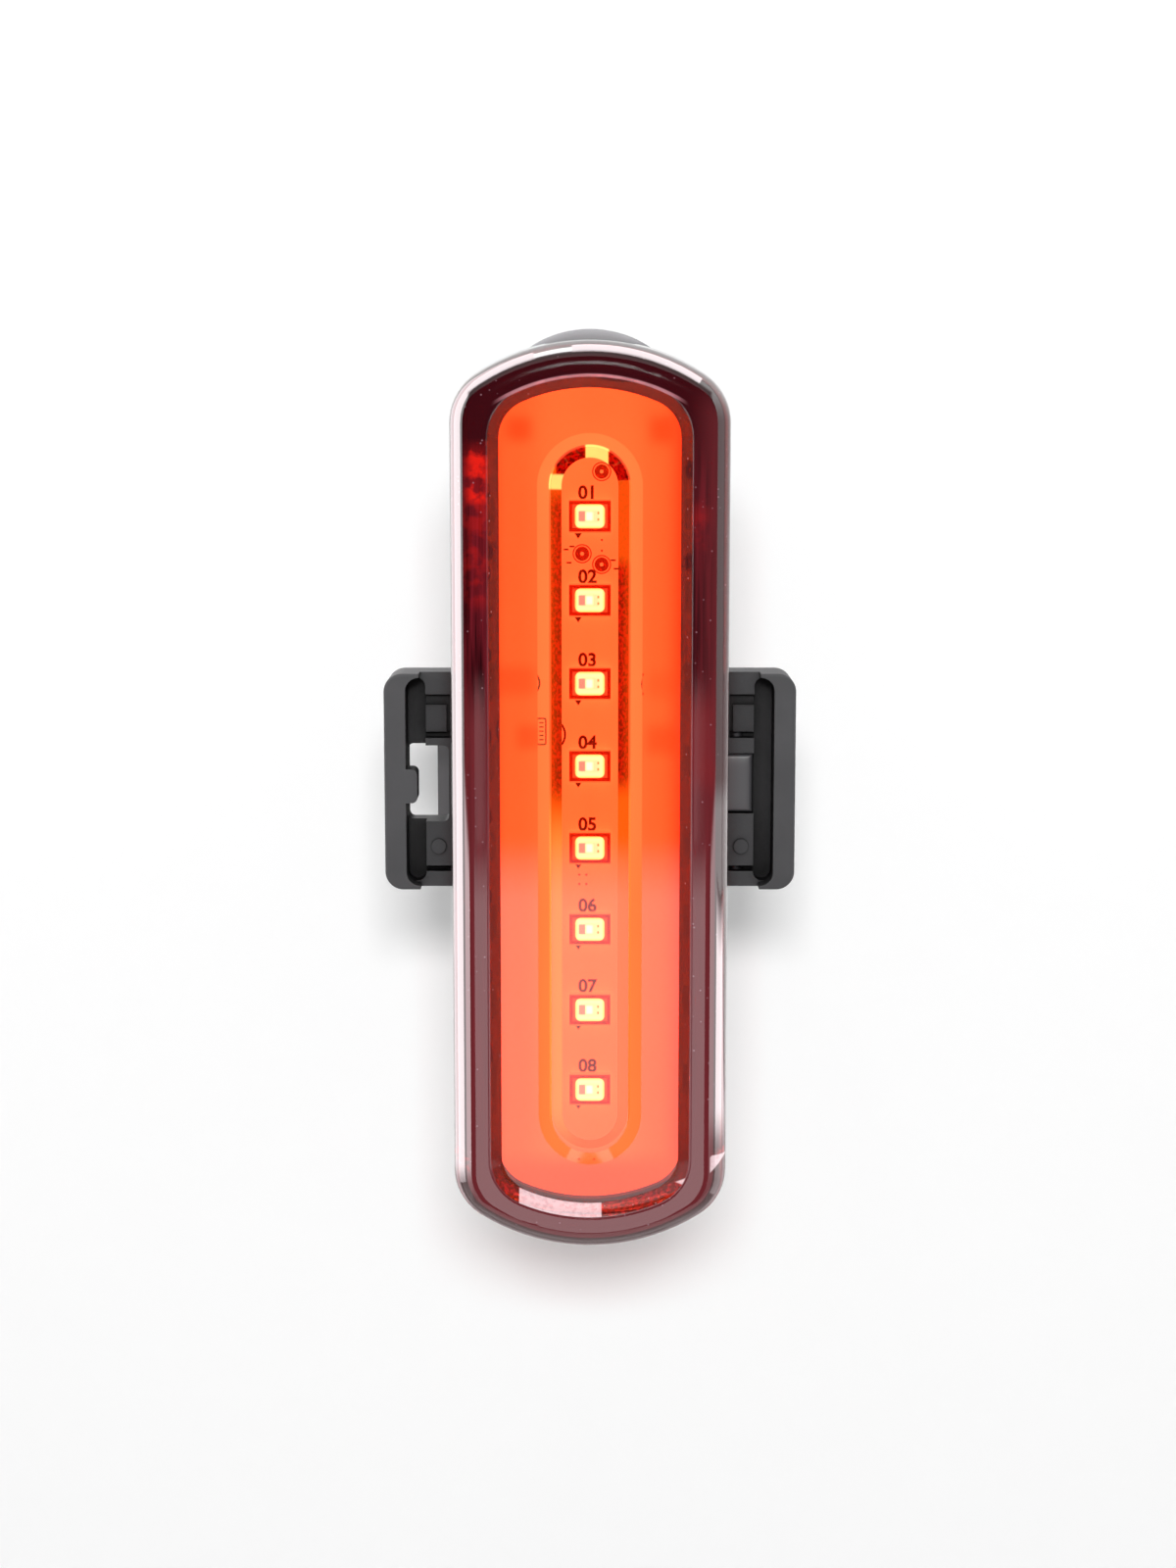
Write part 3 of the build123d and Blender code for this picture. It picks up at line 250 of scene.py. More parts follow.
def make_lamp_group():
    """Height above or below the middle of the nearest lamp, in millimetres."""
    group, _, out = new_group("lamp place", {}, {"Above": FLOAT})
    shifted = calc(group, "SUBTRACT", use_group(group, PLACE)["Z"], LAMP_ROW_SHIFT)
    from_gap = calc(group, "WRAP", shifted, LAMP_PITCH, 0.0)
    return finish_group(group, out, Above=calc(group, "SUBTRACT", from_gap, LAMP_PITCH / 2))


PLACE = make_place_group()
BAND = make_band_group()
GRAIN = make_grain_group()
WEAR = make_wear_group()
DUST = make_dust_group()
PAINTED_SHADE_GROUP = make_painted_shade_group()
BAR = make_bar_group()
LAMP = make_lamp_group()


def band(tree, value, low, high, softness):
    return use_group(tree, BAND, Value=value, Low=low, High=high, Softness=softness)["Mask"]


def within(tree, value, reach, softness):
    return band(tree, calc(tree, "ABSOLUTE", value), -1.0, reach, softness)


def patch(tree, where, x_span, z_span, softness):
    """A soft rectangle on the front of the light."""
    across = band(tree, where["X"], *x_span, softness)
    return multiply(tree, across, band(tree, where["Z"], *z_span, softness))


def surface_grain(tree, fine, broad=0.15):
    """Height and tone of the moulded grain, with fine and broad spots per millimetre."""
    return use_group(tree, GRAIN, Grain_per_mm=fine, Tone_per_mm=broad)


def scaled(colour, factor):
    return tuple(min(1.0, part * factor) for part in colour)


# Materials

WORN_EDGE_RADIUS = 0.12
# How dark the painted shade in grooves and corners gets, as a share of the colour
PAINTED_SHADE_DARKNESS = 0.06
METAL_SHADE = 0.85


def new_material(name):
    material = bpy.data.materials.new(name)
    material.use_nodes = True
    material.node_tree.nodes.clear()
    return material, material.node_tree


def finish_material(tree, shader):
    place(tree, "OutputMaterial", {"Surface": shader})


def moulded_plastic(name, colour, roughness, grain=3.0, depth=0.02, worn=0.5, tone=0.25,
                    specular=0.5, rubbed=(0.35, 0.35, 0.35), painted_shade=0.6, reach=1.5):
    """Opaque moulding with grain, uneven tone, rubbed edges, and painted shade that darkens it in grooves and
    corners.
    """
    material, tree = new_material(name)
    surface = surface_grain(tree, grain)
    edges = use_group(tree, WEAR, Radius=WORN_EDGE_RADIUS * MM, Amount=worn)
    base = mix_colour(tree, surface["Tone"], scaled(colour, 1 - tone), scaled(colour, 1 + tone))
    base = mix_colour(tree, edges["Mask"], base, rubbed)
    open_part = use_group(tree, PAINTED_SHADE_GROUP, Reach=reach * MM, Strength=painted_shade)["Open"]
    # Painted shade: the colour goes darker in grooves and corners
    base = mix_colour(tree, open_part, scaled(colour, PAINTED_SHADE_DARKNESS), base)
    sheen = mix_number(tree, surface["Tone"], roughness * 0.85, roughness * 1.15)
    sheen = mix_number(tree, edges["Mask"], sheen, roughness * 0.7)
    bump = place(tree, "Bump", {
        "Height": surface["Height"], "Distance": depth * MM, "Strength": 0.6, "Normal": edges["Normal"],
    })
    shader = place(tree, "BsdfPrincipled", {
        "Base Color": base, "Roughness": sheen, "Normal": bump, "Specular IOR Level": specular,
    })
    finish_material(tree, shader)
    return material


def metal(name, colour, roughness, grain=2.0, depth=0.004):
    """Plated or drawn metal with fine scratches."""
    material, tree = new_material(name)
    surface = surface_grain(tree, grain, 0.6)
    base = mix_colour(tree, surface["Tone"], scaled(colour, METAL_SHADE), colour)
    sheen = mix_number(tree, surface["Height"], roughness * 0.7, roughness * 1.4)
    bump = place(tree, "Bump", {
        "Height": surface["Height"], "Distance": depth * MM, "Strength": 0.5,
    })
    shader = place(tree, "BsdfPrincipled", {
        "Base Color": base, "Roughness": sheen, "Normal": bump, "Metallic": 1.0,
    })
    finish_material(tree, shader)
    return material


LENS_RED = (1.0, 0.088, 0.018)
# The border is the same red plastic, given a darker tint as painted shade
BORDER_SHADED_RED = (0.11, 0.003, 0.003)
LENS_GLOW = 3.0
LENS_IOR = 1.49
COAT_IOR = 2.6
BODY_STRAIGHT_HALF_WIDTH = 9.9
BODY_END_RADIUS = 16.35
BODY_END_CENTRE = 21.0

# Glow that stands for the lamps' light thrown out by inner reflection, first off the slopes
# behind the bar
SLOPE_AMBER = (0.42, 0.13, 0.01)
SLOPE_YELLOW = (0.45, 0.90, 0.47)
SLOPE_GOLD = (0.42, 0.36, 0.13)
SLOPE_SHADE = (0.05, 0.0005, 0.0005)
SLOPE_FLECK = (0.24, 0.003, 0.002)

# Areas of the front: x from and to, z from and to, softness, amount
YELLOW_SLOPES = (
    ((-0.35, 1.50), (27.3, 32.0), 0.12, 1.0),
    ((-3.40, -2.00), (26.1, 27.3), 0.25, 1.0),
)
GOLD_SLOPES = (
    ((-3.50, -1.50), (-28.4, -2.0), 4.0, 1.0),
    ((1.50, 3.50), (-28.4, -4.0), 3.0, 0.15),
)
DARK_SLOPES = (
    ((-2.80, -0.40), (26.9, 32.0), 0.15, 1.0),
    ((1.55, 3.50), (26.8, 32.0), 0.15, 1.0),
    ((-3.50, -1.50), (0.2, 25.9), 3.0, 1.0),
    ((1.50, 3.50), (1.2, 20.4), 2.5, 1.0),
    ((1.50, 3.50), (20.4, 27.0), 0.5, 0.35),
)

# The same off the border round the window, with its hot places and a painted pink highlight along the top of
# the step's outer edge
BORDER_DARK = (0.006, 0.0008, 0.0014)
BORDER_STREAK = (0.050, 0.0035, 0.0060)
BORDER_LOW = (0.055, 0.008, 0.010)
BORDER_HOT = (0.26, 0.005, 0.003)
BORDER_UPPER_RIGHT = (0.05, 0.008, 0.010)
BORDER_EDGE = (0.004, 0.0003, 0.0003)
RIM_HIGHLIGHT = (0.17, 0.065, 0.075)
HOT_BLOTCHES = (
    ((-10.0, -8.3), (25.0, 29.8), 1.2, 1.0),
    ((-10.2, -8.0), (17.0, 26.0), 3.0, 0.35),
    ((8.6, 9.6), (21.5, 24.8), 1.8, 0.3),
)
HOT_GLIMMER = ((8.6, 10.4), (2.0, 9.0), 3.0, 0.12)
UPPER_RIGHT = ((9.6, 30.0), (3.0, 34.0), 4.0, 0.9)

# The step under the window: a darker tint as painted shade, a dim painted glow with red flecks, and painted
# highlights where it would mirror the studio's light
STEP_SHADED_BASE = (0.01, 0.001, 0.001)
STEP_DARK = (0.03, 0.001, 0.001)
STEP_RED = (0.115, 0.0015, 0.002)
STEP_HIGHLIGHT = (0.27, 0.20, 0.21)
STEP_HIGHLIGHT_DIM = (0.23, 0.155, 0.165)
STEP_WIDTH = 0.95
STEP_TOP_Z = -29.3
STEP_HIGHLIGHT_X = (-6.0, 0.98)
STEP_CORNER_HIGHLIGHT = (6.7, (-32.4, -29.9))

# Shoulder areas that the polish doesn't show on
DULL_UPPER_RIGHT = ((9.0, 30.0), (1.0, 33.0), 3.0, 0.75)
DULL_LOW_RIGHT = ((9.0, 30.0), (-60.0, -27.5), 4.0, 0.9)

# Darker tint of the plastic on the dark slopes: painted shade
SLOPE_SHADED_BASE = (0.16, 0.002, 0.001)
SKIRT_GLOW = (0.05, 0.036, 0.012)
SPECK_GLOW = (0.14, 0.07, 0.085)
SHADOW_TINT = (0.6, 0.1, 0.05)


def end_distance(tree, where, centre):
    """Distance from the middle of the round end that is nearer, in millimetres."""
    end = calc(tree, "SUBTRACT", calc(tree, "ABSOLUTE", where["Z"]), centre)
    end = calc(tree, "MAXIMUM", end, 0.0)
    squares = calc(tree, "ADD", multiply(tree, where["X"], where["X"]), multiply(tree, end, end))
    return calc(tree, "SQRT", squares)


def window_mask(tree, where):
    """1 on the window and behind it, 0 on the border round it."""
    round_end = within(tree, end_distance(tree, where, WINDOW_END_CENTRE), WINDOW_END_RADIUS + 0.05, 0.1)
    across = within(tree, where["X"], WINDOW_HALF_WIDTH + 0.05, 0.1)
    return multiply(tree, across, round_end, band(tree, where["Y"], WINDOW_Y - 0.4, 0.0, 0.1))


def areas_mask(tree, where, areas):
    masks = [multiply(tree, patch(tree, where, x, z, soft), amount) for x, z, soft, amount in areas]
    return any_of(tree, masks)


def noise_between(tree, vector, scale, detail, low, high, floor=0.0):
    """Noise stretched so that it runs from a floor, at one of its values, up to 1 at another."""
    return remap(tree, noise(tree, vector, scale, detail), low, high, floor)


def slope_glow(tree, where):
    """What shines from the sloped wall behind the bar, and where that wall is."""
    slope = multiply(
        tree,
        band(tree, use_group(tree, BAR)["Distance"], *BAR_SLOPE, 0.12),
        band(tree, where["Y"], *SLOPE_Y, 0.1),
    )
    flecks = noise_between(tree, where["Position"], 3.5, 4.0, 0.38, 0.60)
    shade = mix_colour(tree, flecks, SLOPE_SHADE, SLOPE_FLECK)
    dark = areas_mask(tree, where, DARK_SLOPES)
    colour = layered(tree, SLOPE_AMBER, [
        (areas_mask(tree, where, GOLD_SLOPES), SLOPE_GOLD),
        (dark, shade),
        (areas_mask(tree, where, YELLOW_SLOPES), SLOPE_YELLOW),
    ])
    return slope, colour, multiply(tree, slope, dark)


def polish_mask(tree, where):
    """1 on the rounded shoulder round the lens, less where the photo shows it dull."""
    outer = any_of(tree, [
        band(tree, calc(tree, "ABSOLUTE", where["X"]), BODY_STRAIGHT_HALF_WIDTH, PAST, 0.3),
        band(tree, end_distance(tree, where, BODY_END_CENTRE), BODY_END_RADIUS, PAST, 0.3),
    ])
    shoulder = multiply(tree, outer, band(tree, where["Y"], -PAST, SHOULDER_Y, 0.8))
    low_end = multiply(tree, band(tree, where["Z"], -PAST, -31.5, 2.0), 0.85)
    for dull in (
        areas_mask(tree, where, [DULL_UPPER_RIGHT]), areas_mask(tree, where, [DULL_LOW_RIGHT]), low_end,
    ):
        shoulder = multiply(tree, shoulder, calc(tree, "SUBTRACT", 1.0, dull))
    return shoulder


def step_glow(tree, where):
    """Where the step under the window is, and its painted colour: a dim glow with red flecks, and painted
    highlights.
    """
    step = multiply(
        tree,
        band(tree, end_distance(tree, where, WINDOW_END_CENTRE), WINDOW_END_RADIUS + 0.05,
             WINDOW_END_RADIUS + 0.05 + STEP_WIDTH, 0.1),
        band(tree, where["Z"], -PAST, STEP_TOP_Z, 0.1),
        band(tree, where["Y"], *STEP_Y, 0.05),
    )
    flecks = noise_between(tree, where["Position"], 2.6, 4.0, 0.45, 0.62)
    colour = mix_colour(tree, flecks, STEP_DARK, STEP_RED)
    corner_x, corner_z = STEP_CORNER_HIGHLIGHT
    # Painted highlights: a band across the bottom of the step and a patch at its right corner
    highlit = any_of(tree, [
        band(tree, where["X"], *STEP_HIGHLIGHT_X, 0.1),
        multiply(tree, band(tree, where["X"], corner_x, PAST, 0.1), band(tree, where["Z"], *corner_z, 0.12)),
    ])
    highlight = mix_colour(tree, flecks, STEP_HIGHLIGHT, STEP_HIGHLIGHT_DIM)
    return step, mix_colour(tree, highlit, colour, highlight)


def border_glow(tree, where):
    """Faint red that the border passes on from the lamps, in streaks along its length, with a painted pink
    highlight along the outer edge of the step at the top.
    """
    stretched = place(tree, "VectorMath", {0: where["Position"], 1: (2.6, 2.6, 0.12)},
                      operation="MULTIPLY").outputs[0]
    streaks = noise_between(tree, stretched, 1.0, 2.0, 0.35, 0.70)
    streaks = mix_number(tree, within(tree, where["Z"], 28.0, 6.0), 0.15, streaks)
    low_end = multiply(tree, band(tree, where["Z"], -PAST, 9.0, 6.0), 0.8)
    blotches = noise_between(tree, where["Position"], 0.9, 3.0, 0.42, 0.60, 0.15)
    hot = any_of(tree, [
        multiply(tree, areas_mask(tree, where, HOT_BLOTCHES), blotches),
        areas_mask(tree, where, [HOT_GLIMMER]),
    ])
    behind_front = multiply(tree, band(tree, where["Y"], BORDER_FRONT_Y, 0.0, 0.05), 0.75)
    # Painted pink highlight along the outer edge of the step at the top end
    rim = multiply(
        tree,
        band(tree, end_distance(tree, where, WINDOW_END_CENTRE), WINDOW_END_RADIUS + 0.86,
             WINDOW_END_RADIUS + 1.12, 0.12),
        band(tree, where["Z"], 29.0, PAST, 2.0),
        within(tree, where["X"], 7.4, 1.4),
    )
    rim_tone = surface_grain(tree, 1.0, 0.8)["Tone"]
    rim = multiply(tree, rim, mix_number(tree, rim_tone, 0.2, 1.3))
    return layered(tree, mix_colour(tree, streaks, BORDER_DARK, BORDER_STREAK), [
        (low_end, BORDER_LOW),
        (hot, BORDER_HOT),
        (areas_mask(tree, where, [UPPER_RIGHT]), BORDER_UPPER_RIGHT),
        (behind_front, BORDER_EDGE),
        (rim, RIM_HIGHLIGHT),
    ])


def clear_red_lens():
    """Polished clear red plastic, which lets lamp light through as red."""
    material, tree = new_material("red_lens")
    where = use_group(tree, PLACE)
    surface = surface_grain(tree, 0.5, 0.08)
    specks = use_group(tree, DUST, Specks_per_mm=1.6, Size=0.16)["Mask"]
    window = window_mask(tree, where)
    border = calc(tree, "SUBTRACT", 1.0, window)
    front = band(tree, where["Y"], -PAST, WINDOW_Y + 0.05, 0.1)
    step, step_colour = step_glow(tree, where)
    slope, slope_colour, dark_slope = slope_glow(tree, where)
    # Painted shade: the border round the window gets a darker tint of the same red plastic
    base = mix_colour(tree, window, BORDER_SHADED_RED, LENS_RED)
    # Painted shade: the step and the dark slopes get a darker tint of the same plastic
    base = layered(tree, base, [(step, STEP_SHADED_BASE), (dark_slope, SLOPE_SHADED_BASE)])
    skirt = multiply(
        tree,
        band(tree, use_group(tree, BAR)["Distance"], *BAR_SKIRT, 0.15),
        band(tree, where["Y"], WINDOW_Y - 0.4, WINDOW_Y + 0.1, 0.1),
    )
    glow = layered(tree, BLACK, [
        (multiply(tree, border, front), border_glow(tree, where)),
        (step, step_colour),
        (slope, slope_colour),
        (multiply(tree, skirt, 0.5), SKIRT_GLOW),
        # Dust specks on the border's front, shown as painted glints
        (multiply(tree, specks, border, front, 0.8), SPECK_GLOW),
    ])
    roughness = mix_number(tree, surface["Tone"], 0.03, 0.06)
    bump = place(tree, "Bump", {
        "Height": surface["Height"], "Distance": 0.002 * MM, "Strength": 0.3,
    })
    shader = place(tree, "BsdfPrincipled", {
        "Base Color": base, "Roughness": roughness, "Normal": bump, "IOR": LENS_IOR,
        "Transmission Weight": 1.0, "Emission Color": glow, "Emission Strength": LENS_GLOW,
        "Coat Weight": polish_mask(tree, where), "Coat IOR": COAT_IOR, "Coat Roughness": 0.05,
    })
    passing = place(tree, "BsdfTransparent", {"Color": SHADOW_TINT})
    shadow_ray = place(tree, "LightPath").outputs["Is Shadow Ray"]
    both = place(tree, "MixShader", {0: shadow_ray, 1: shader, 2: passing})
    finish_material(tree, both)
    return material


BOARD_GLOW = 2.5
LAMP_GLOW = 50.0

# Lit board: its middle, side parts, edges, low end and darker patches
BOARD_MIDDLE = (0.82, 0.78, 0.86)
BOARD_SIDE = (0.66, 0.60, 0.60)
BOARD_LEFT_EDGE = (0.48, 0.36, 0.34)
BOARD_RIGHT_EDGE = (0.46, 0.18, 0.16)
BOARD_LOW_END = (0.50, 0.40, 0.36)
DARK_PATCH = (0.50, 0.22, 0.14)
DARK_PATCHES = (
    ((-7.0, -4.9), (30.0, 32.0), 1.6, 0.7),
    ((5.0, 7.0), (29.8, 32.0), 1.6, 0.7),
    ((-8.5, -4.6), (8.8, 11.2), 1.6, 0.45),
    ((-6.2, -4.2), (4.2, 6.2), 1.4, 0.5),
    ((4.8, 7.6), (8.6, 10.8), 1.8, 0.3),
    ((4.8, 8.5), (3.8, 6.2), 1.8, 0.55),
)

# Lamp body: its printed outline and the light that leaks out inside it
OUTLINE_INK = (0.07, 0.003, 0.005)
LEAK_DARK = (0.46, 0.26, 0.34)
LEAK_PALE = (0.64, 0.44, 0.60)

# Lit square of a lamp: its rim's colour, then the parts inside it, each with x from and to,
# softness, height above and below the middle from and to, softness, amount and colour
FACE_EDGE = (0.24, 0.16, 0.14)
FACE_PARTS = (
    ((-1.12, 1.12), 0.35, (-1.0, 0.88), 0.35, 1.0, (0.32, 0.30, 0.58)),
    ((-0.85, 0.85), 0.35, (-1.0, 0.55), 0.30, 0.6, (0.22, 0.16, 0.40)),
    ((-0.95, -0.40), 0.16, (-1.0, 0.42), 0.14, 1.0, (0.014, 0.07, 0.24)),
    ((0.62, 0.78), 0.08, (0.17, 0.37), 0.08, 1.0, (0.012, 0.075, 0.10)),
    ((-0.30, 0.22), 0.25, (-1.0, 0.34), 0.25, 1.0, (0.5, 0.45, 1.0)),
)

INK_DARK = (0.01, 0.0005, 0.001)
INK_THIN = (0.07, 0.005, 0.008)
PAD_DARK = (0.02, 0.004, 0.004)
PAD_PALE = (0.13, 0.02, 0.02)


def board_colour(tree, where):
    """The lit white board: even along the middle, redder towards its edges, with a few darker patches."""
    surface = surface_grain(tree, 1.5, 0.12)
    middle = within(tree, where["X"], 4.4, 3.6)
    colour = layered(tree, mix_colour(tree, middle, BOARD_SIDE, BOARD_MIDDLE), [
        (multiply(tree, band(tree, where["X"], -PAST, -7.6, 1.8), 0.8), BOARD_LEFT_EDGE),
        (multiply(tree, band(tree, where["X"], 7.0, PAST, 2.2), 0.9), BOARD_RIGHT_EDGE),
        (band(tree, where["Z"], -PAST, -31.5, 2.6), BOARD_LOW_END),
        (areas_mask(tree, where, DARK_PATCHES), DARK_PATCH),
    ])
    return mix_colour(tree, 1.0, colour, tone_colour(tree, surface["Tone"], 0.90, 1.08), "MULTIPLY")


def tone_colour(tree, tone, low, high):
    value = mix_number(tree, tone, low, high)
    return place(tree, "CombineColor", {0: value, 1: value, 2: value}).outputs[0]


def glowing(tree, colour, strength, base=(0.5, 0.5, 0.5), roughness=0.4):
    """A lit surface: its colour comes from the light thrown on it by the lamps."""
    shader = place(tree, "BsdfPrincipled", {
        "Base Color": base, "Roughness": roughness,
        "Emission Color": colour, "Emission Strength": strength,
    })
    finish_material(tree, shader)


def lit_board():
    material, tree = new_material("board_white")
    glowing(tree, board_colour(tree, use_group(tree, PLACE)), BOARD_GLOW, (0.6, 0.59, 0.56), 0.45)
    return material


def lamp_package():
    """Lamp body: the printed outline shows round it, and light leaks out red inside that."""
    material, tree = new_material("lamp_package")
    where = use_group(tree, PLACE)
    above = use_group(tree, LAMP)["Above"]
    grain = surface_grain(tree, 4.0, 0.9)["Tone"]
    outline = multiply(tree, within(tree, where["X"], 1.74, 0.06), within(tree, above, 1.28, 0.06))
    inside = multiply(tree, within(tree, where["X"], 1.46, 0.08), within(tree, above, 0.98, 0.08))
    leak = mix_colour(tree, grain, LEAK_DARK, LEAK_PALE)
    colour = layered(tree, board_colour(tree, where), [(outline, OUTLINE_INK), (inside, leak)])
    glowing(tree, colour, BOARD_GLOW, (0.3, 0.3, 0.3), 0.5)
    return material


def lamp_face():
    """The lit square of a lamp, with its cavity, small chip, two contacts and bright spot."""
    material, tree = new_material("lamp_face")
    where = use_group(tree, PLACE)
    height = calc(tree, "ABSOLUTE", use_group(tree, LAMP)["Above"])
    colour = FACE_EDGE
    for x_span, x_soft, z_span, z_soft, amount, part_colour in FACE_PARTS:
        across = band(tree, where["X"], *x_span, x_soft)
        mask = multiply(tree, across, band(tree, height, *z_span, z_soft), amount)
        colour = mix_colour(tree, mask, colour, part_colour)
    glowing(tree, colour, LAMP_GLOW, (0.6, 0.6, 0.6), 0.3)
    return material


def board_ink():
    material, tree = new_material("board_ink")
    grain = surface_grain(tree, 6.0, 2.0)["Tone"]
    colour = mix_colour(tree, grain, INK_DARK, INK_THIN)
    glowing(tree, colour, BOARD_GLOW, (0.05, 0.05, 0.05), 0.6)
    return material


def board_pad():
    material, tree = new_material("board_pad")
    grain = surface_grain(tree, 5.0, 1.2)
    colour = mix_colour(tree, grain["Tone"], PAD_DARK, PAD_PALE)
    glowing(tree, colour, BOARD_GLOW, (0.2, 0.19, 0.18), 0.35)
    return material


def paint(node, material):
    """A CAD node keeps its mesh and gets this material in every slot."""
    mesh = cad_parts[node].data
    mesh.materials.clear()
    mesh.materials.append(material)


# Finishes: colour, roughness, what differs from the usual, and the nodes that have them
PLASTICS = {
    # The bracket gets the full painted shade in its grooves and corners
    "bracket_grey": ((0.074, 0.074, 0.077), 0.5, dict(
        grain=4.0, worn=0.35, specular=0.08, rubbed=(0.16, 0.16, 0.16), painted_shade=1.0, reach=5.0,
    ), ["strap_bracket"]),
    "housing_black": ((0.022, 0.022, 0.024), 0.5, dict(
        grain=3.5, depth=0.05, specular=0.35, rubbed=(0.12, 0.12, 0.12), tone=0.35,
    ), ["rear_housing", "slide_rail"]),
    "black_rubber": ((0.022, 0.022, 0.024), 0.7, dict(
        grain=5.0, depth=0.015, worn=0.3, rubbed=(0.08, 0.08, 0.08),
    ), ["lens_seal", "saddle_pad", "usb_cover", "usb_cover_anchor", "usb_tongue"]),
    "black_inner": ((0.015, 0.015, 0.015), 0.5, dict(
        grain=4.0, depth=0.01, worn=0.1, rubbed=(0.04, 0.04, 0.04),
    ), ["inner_bezel"]),
    "button_grey": ((0.26, 0.26, 0.27), 0.55, dict(
        grain=5.0, worn=0.2, rubbed=(0.4, 0.4, 0.4), painted_shade=0.3,
    ), ["power_button", "switch_plunger"]),
    "strap_silicone": ((0.012, 0.012, 0.013), 0.5, dict(
        grain=2.5, depth=0.01, worn=0.15, specular=0.08, rubbed=(0.05, 0.05, 0.05),
    ), ["strap", "strap_anchor"]),
    "foam_grey": ((0.2, 0.2, 0.2), 0.9, dict(grain=2.2, depth=0.12, worn=0.0), ["battery_foam"]),
    "board_green": ((0.03, 0.18, 0.08), 0.35, dict(
        grain=1.5, depth=0.01, worn=0.3, rubbed=(0.5, 0.45, 0.25),
    ), ["control_board", "switch_board"]),
    "chip_black": ((0.03, 0.03, 0.03), 0.45, dict(grain=6.0, depth=0.01, worn=0.2),
                   ["control_chips", "header_block"]),
    "chip_ceramic": ((0.35, 0.3, 0.25), 0.5, dict(grain=4.0, depth=0.01, worn=0.1), ["led_resistors"]),
    "lead_red": ((0.5, 0.02, 0.02), 0.4, dict(grain=2.0, depth=0.006, worn=0.0), ["battery_lead_red"]),
    "lead_black": ((0.03, 0.03, 0.03), 0.4, dict(grain=2.0, depth=0.006, worn=0.0),
                   ["battery_lead_black", "switch_leads"]),
}
METALS = {
    "cell_foil": ((0.72, 0.72, 0.74), 0.35, dict(grain=0.8, depth=0.02), ["battery_cell"]),
    "contact_brass": ((0.8, 0.6, 0.3), 0.25, {}, ["header_pins"]),
    "socket_steel": ((0.7, 0.7, 0.7), 0.3, {}, ["usb_socket"]),
    "switch_steel": ((0.66, 0.66, 0.67), 0.35, {}, ["switch_body"]),
    "screw_steel": ((0.6, 0.6, 0.62), 0.3, {}, ["rail_screws"]),
    "pin_black_steel": ((0.06, 0.06, 0.065), 0.55, {}, ["strap_pin"]),
}
LIGHT_PARTS = {
    "lens_cover": clear_red_lens, "led_board": lit_board, "led_packages": lamp_package,
    "led_lenses": lamp_face,
}


def dress_nodes():
    for make, finishes in ((moulded_plastic, PLASTICS), (metal, METALS)):
        for name, (colour, roughness, settings, nodes) in finishes.items():
            material = make(name, colour, roughness, **settings)
            for node in nodes:
                paint(node, material)
    for node, make_material in LIGHT_PARTS.items():
        paint(node, make_material())


# Printing and pads on the lamp board

INK_THICKNESS = 0.03
PAD_THICKNESS = 0.05
NUMBER_HEIGHT = 1.1
NUMBER_BOLDNESS = 0.05
NUMBER_ABOVE_LAMP = 1.42
NUMBER_X = -0.2
NUMBER_WELD = 0.0005
# Size of the built-in font for digits one high
FONT_SIZE_PER_HEIGHT = 1.42

# Printed marks, as x and z in millimetres: a triangle's corners from the middle of each lamp;
# arcs with their radius and two angles; a stamp frame with its half width, half height and
# corner radius outside and inside, and the lines in it; ticks; dots
TRIANGLE = ((-1.30, -1.42), (-0.66, -1.42), (-0.98, -1.92))
ARCS = ((-4.95, 9.8, 1.05, -50, 50), (5.1, 9.7, 1.05, 125, 235), (-3.5, 5.4, 1.4, -38, 38))
ARC_WIDTH = 0.18
STAMP_PLACE = (-3.75, 5.7)
STAMP_OUTSIDE = (0.45, 1.18, 0.22)
STAMP_INSIDE = (0.31, 1.04, 0.1)
STAMP_LINES = [5.0 + 0.36 * step for step in range(5)]
STAMP_LINE = (0.2, 0.06, 0.05)
TICKS = ((-2.0, 21.0), (-1.5, 21.25), (-1.75, 19.9), (1.95, 20.1), (2.2, 19.4))
TICK = (0.22, 0.07, 0.06)
DOTS = ((-0.85, -31.1), (0.34, -31.1), (-0.9, -6.6), (-0.3, -6.6), (-0.9, -7.4), (-0.3, -7.4),
        (1.0, 21.8), (1.0, 20.9))
DOT_RADIUS = 0.09

# Test pads: their places, then the outer and inner radius of the disc and of the ring round it
PADS = ((0.98, 27.48), (-0.65, 20.65), (0.98, 19.75))
PAD_RINGS = ((0.60, 0.16), (0.80, 0.70))


def new_piece(name, mesh, material, body):
    """An object of this mesh that moves with a body."""
    mesh.materials.clear()
    mesh.materials.append(material)
    piece = bpy.data.objects.new(name, mesh)
    bpy.context.scene.collection.objects.link(piece)
    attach(piece, body)
    return piece


def arc_points(x, z, radius, start, end, steps):
    angles = [math.radians(start + (end - start) * i / steps) for i in range(steps + 1)]
    return [(x + radius * math.cos(a), z + radius * math.sin(a)) for a in angles]


def circle(x, z, radius, steps=32):
    return arc_points(x, z, radius, 0, 360, steps)[:-1]


def arc_band(x, z, radius, start, end, width, steps=14):
    """The outline of a thin curved line."""
    outer = arc_points(x, z, radius + width / 2, start, end, steps)
    return outer + arc_points(x, z, radius - width / 2, end, start, steps)


def rounded_box(x, z, half_width, half_height, corner, steps=5):
    points = []
    for sx, sz, start in ((1, 1, 0), (-1, 1, 90), (-1, -1, 180), (1, -1, 270)):
        centre = (x + sx * (half_width - corner), z + sz * (half_height - corner))
        points += arc_points(*centre, corner, start, start + 90, steps)
    return points


